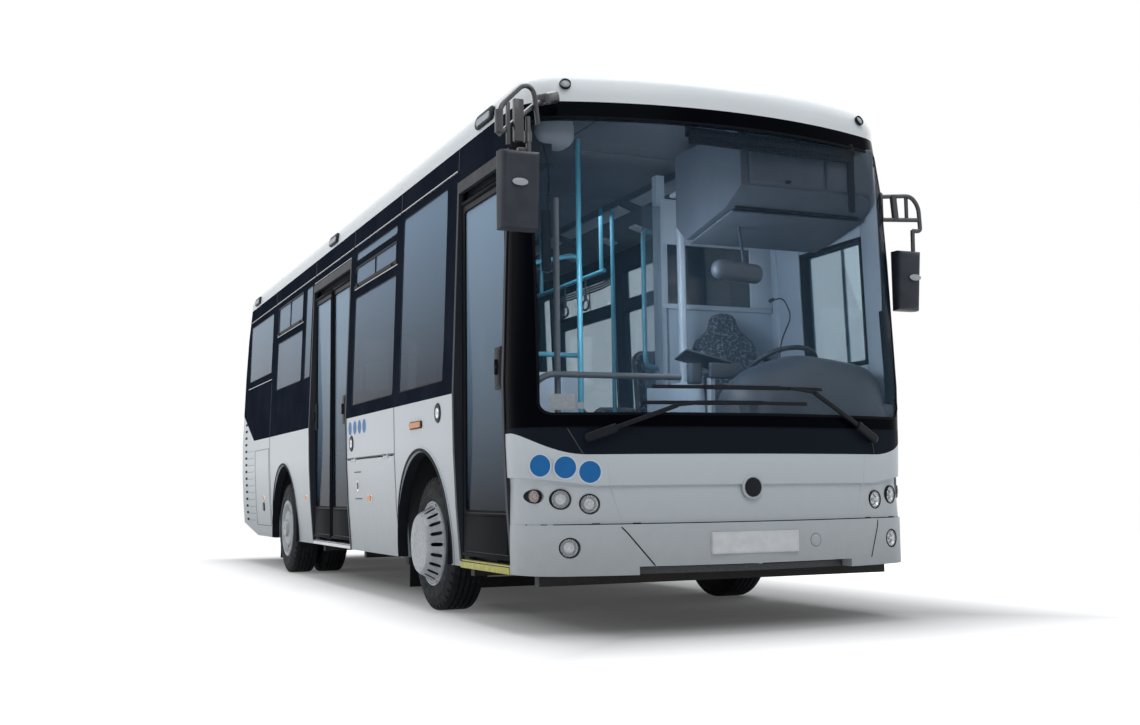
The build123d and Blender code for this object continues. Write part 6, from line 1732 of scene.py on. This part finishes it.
# ---------------------------------------------------------------- louvres at the rear
# The engine breathes through rows of louvres pressed into the rear corner panels and the engine lid.
# Each is a shallow raised rib with a thin strip of painted shadow under it. The rows at the very corner are
# strips of painted shade only, where the slots lie.
LOUVRE_ROWS = 15
LOUVRE_FOOT_Z = 0.470
LOUVRE_STEP = 0.0736
RIB_TOP_Z = 1.25
ribs = bmesh.new()
for row in range(LOUVRE_ROWS):
    height = LOUVRE_FOOT_Z + row * LOUVRE_STEP
    for face in ("right", "left"):
        if height < RIB_TOP_Z:
            laid_strip(ribs, face, [(3.640, height), (4.020, height)], 0.012, 0.0035, step=0.1)
            # painted shadow under each rib
            laid_strip(ribs, face, [(3.640, height - 0.009), (4.020, height - 0.009)], 0.002, 0.0008,
                       step=0.1, material=1)
        # painted shade for the corner slots
        laid_strip(ribs, face, [(4.045, height), (4.165, height)], 0.026, 0.0020, step=0.04, material=1)
show("rear_corner_louvres", ribs, (lacquer, gap_shade), "body")
LID_ROWS = 5
LID_FOOT_Z = 0.720
LID_STEP = 0.048
lid_ribs = bmesh.new()
for row in range(LID_ROWS):
    height = LID_FOOT_Z + row * LID_STEP
    for middle in (-0.300, 0.300):
        laid_strip(lid_ribs, "rear", [(middle - 0.220, height), (middle + 0.220, height)], 0.016, 0.005,
                   step=0.1)
        # painted shadow under each rib of the lid
        laid_strip(lid_ribs, "rear", [(middle - 0.215, height - 0.014), (middle + 0.215, height - 0.014)],
                   0.012, 0.002, step=0.1, material=1)
laid_pad(lid_ribs, "rear", 0.0, 0.660, 0.055, 0.022, 0.010, 2)
show("engine_lid_louvres", lid_ribs, (lacquer, gap_shade, lamp_black), "engine_lid")

# ---------------------------------------------------------------- tail lamps and rear fittings
# Four round bolt-in lamps stand in each rear corner: an amber one on top, two red ones and a pale one
# below, each in a dark ring. A soft black bead closes the rear window, over a blank pressed plate.
marker_red = Finish("tail lamp lens", (0.45, 0.02, 0.02), 0.12)
marker_red.mottle((0.36, 0.012, 0.012), (0.55, 0.04, 0.03), 60)
REAR_PLATE_Z = 0.480
TAIL_LAMPS = ((0.760, 2), (0.890, 0), (1.020, 0), (1.150, 1))
TAIL_LENS = ((0.0, 0.012), (0.35, 0.0115), (0.66, 0.009), (0.86, 0.004), (0.90, -0.006), (0.0, -0.006))
TAIL_RING = ((0.86, 0.000), (0.90, 0.0070), (0.96, 0.0075), (1.06, 0.004), (1.10, -0.003), (0.86, -0.003),
             (0.86, 0.000))
TAIL_LAMP_X = 1.000
TAIL_LAMP_RADIUS = 0.050
tail_mesh = bmesh.new()
marker_skin = skin_of("marker_lamps")
for height, kind in TAIL_LAMPS:
    for hand in (-1, 1):
        place, normal = landing("rear", hand * TAIL_LAMP_X, height, marker_skin)
        turned_on_skin(tail_mesh, TAIL_LENS, TAIL_LAMP_RADIUS, place, normal, kind)
        turned_on_skin(tail_mesh, TAIL_RING, TAIL_LAMP_RADIUS, place, normal, 3)
        for ring in (0.30, 0.55):
            lens_ring = ((ring - 0.03, 0.0095), (ring, 0.0135), (ring + 0.03, 0.0095), (ring, 0.008),
                         (ring - 0.03, 0.0095))
            turned_on_skin(tail_mesh, lens_ring, TAIL_LAMP_RADIUS, place, normal, kind)
piece = show("tail_lamp_units", tail_mesh, (marker_red, amber, pale_diffuser, lamp_black), "body", smooth=35)
rear_beads = bmesh.new()
laid_strip(rear_beads, "rear", rounded_outline(-0.880, 0.880, 1.880, 2.560, 0.060), 0.012, 0.003,
           skin=skin_of("rear_window", "rear_band"))
show("rear_window_bead", rear_beads, seal_rubber, "body")
plate_blank("rear_plate_blank", "rear", REAR_PLATE_Z)

# ---------------------------------------------------------------- roof hatches and roof lamps
# Two emergency roof hatches sit on grey rubber gaskets, with a raised rib round each lid. The roof lamps
# are small moulded domes on pale bases, two in front and two over each side.
ROOF_LAMP_YS = (-3.664, 0.066, 3.700)
HATCH_YS = (-1.900, 2.300)
roof_lamps = bmesh.new()
for lamp_y in ROOF_LAMP_YS:
    for face in ("right", "left"):
        laid_pad(roof_lamps, face, lamp_y, 2.829, 0.150, 0.038, 0.018, 0, corner=0.5)
        laid_pad(roof_lamps, face, lamp_y, 2.822, 0.112, 0.018, 0.023, 1, corner=0.5)
for hand in (-1, 1):
    place, normal = landing("front", hand * 0.934, 2.864, marker_skin)
    turned_on_skin(roof_lamps, RING, 0.030, place, normal, 0)
    turned_on_skin(roof_lamps, LENS, 0.027, place - normal * 0.006, normal, 1)
piece = show("roof_lamp_units", roof_lamps, (lamp_black, pale_diffuser), "body")
gasket_lines, lid_ribs = [], bmesh.new()
for hatch_y in HATCH_YS:
    outline = rounded_outline(-0.392, 0.392, hatch_y - 0.316, hatch_y + 0.316, 0.070)
    gasket_lines.append(laid_line("top", outline, 0.002, 0.1))
    for inset, width in ((0.050, 0.016), (0.110, 0.010)):
        inner = rounded_outline(-0.380 + inset, 0.380 - inset, hatch_y - 0.304 + inset,
                                hatch_y + 0.304 - inset, 0.050)
        laid_strip(lid_ribs, "top", inner, width, 0.006, step=0.2)
    for across in (-0.150, 0.150):
        laid_strip(lid_ribs, "top", [(across, hatch_y - 0.150), (across, hatch_y + 0.150)], 0.014, 0.005,
                   step=0.1)
show("hatch_gaskets", tube_mesh(gasket_lines, 0.009, 8), flap_rubber, "body")
show("hatch_ribs", lid_ribs, roof_lit_white, "body")
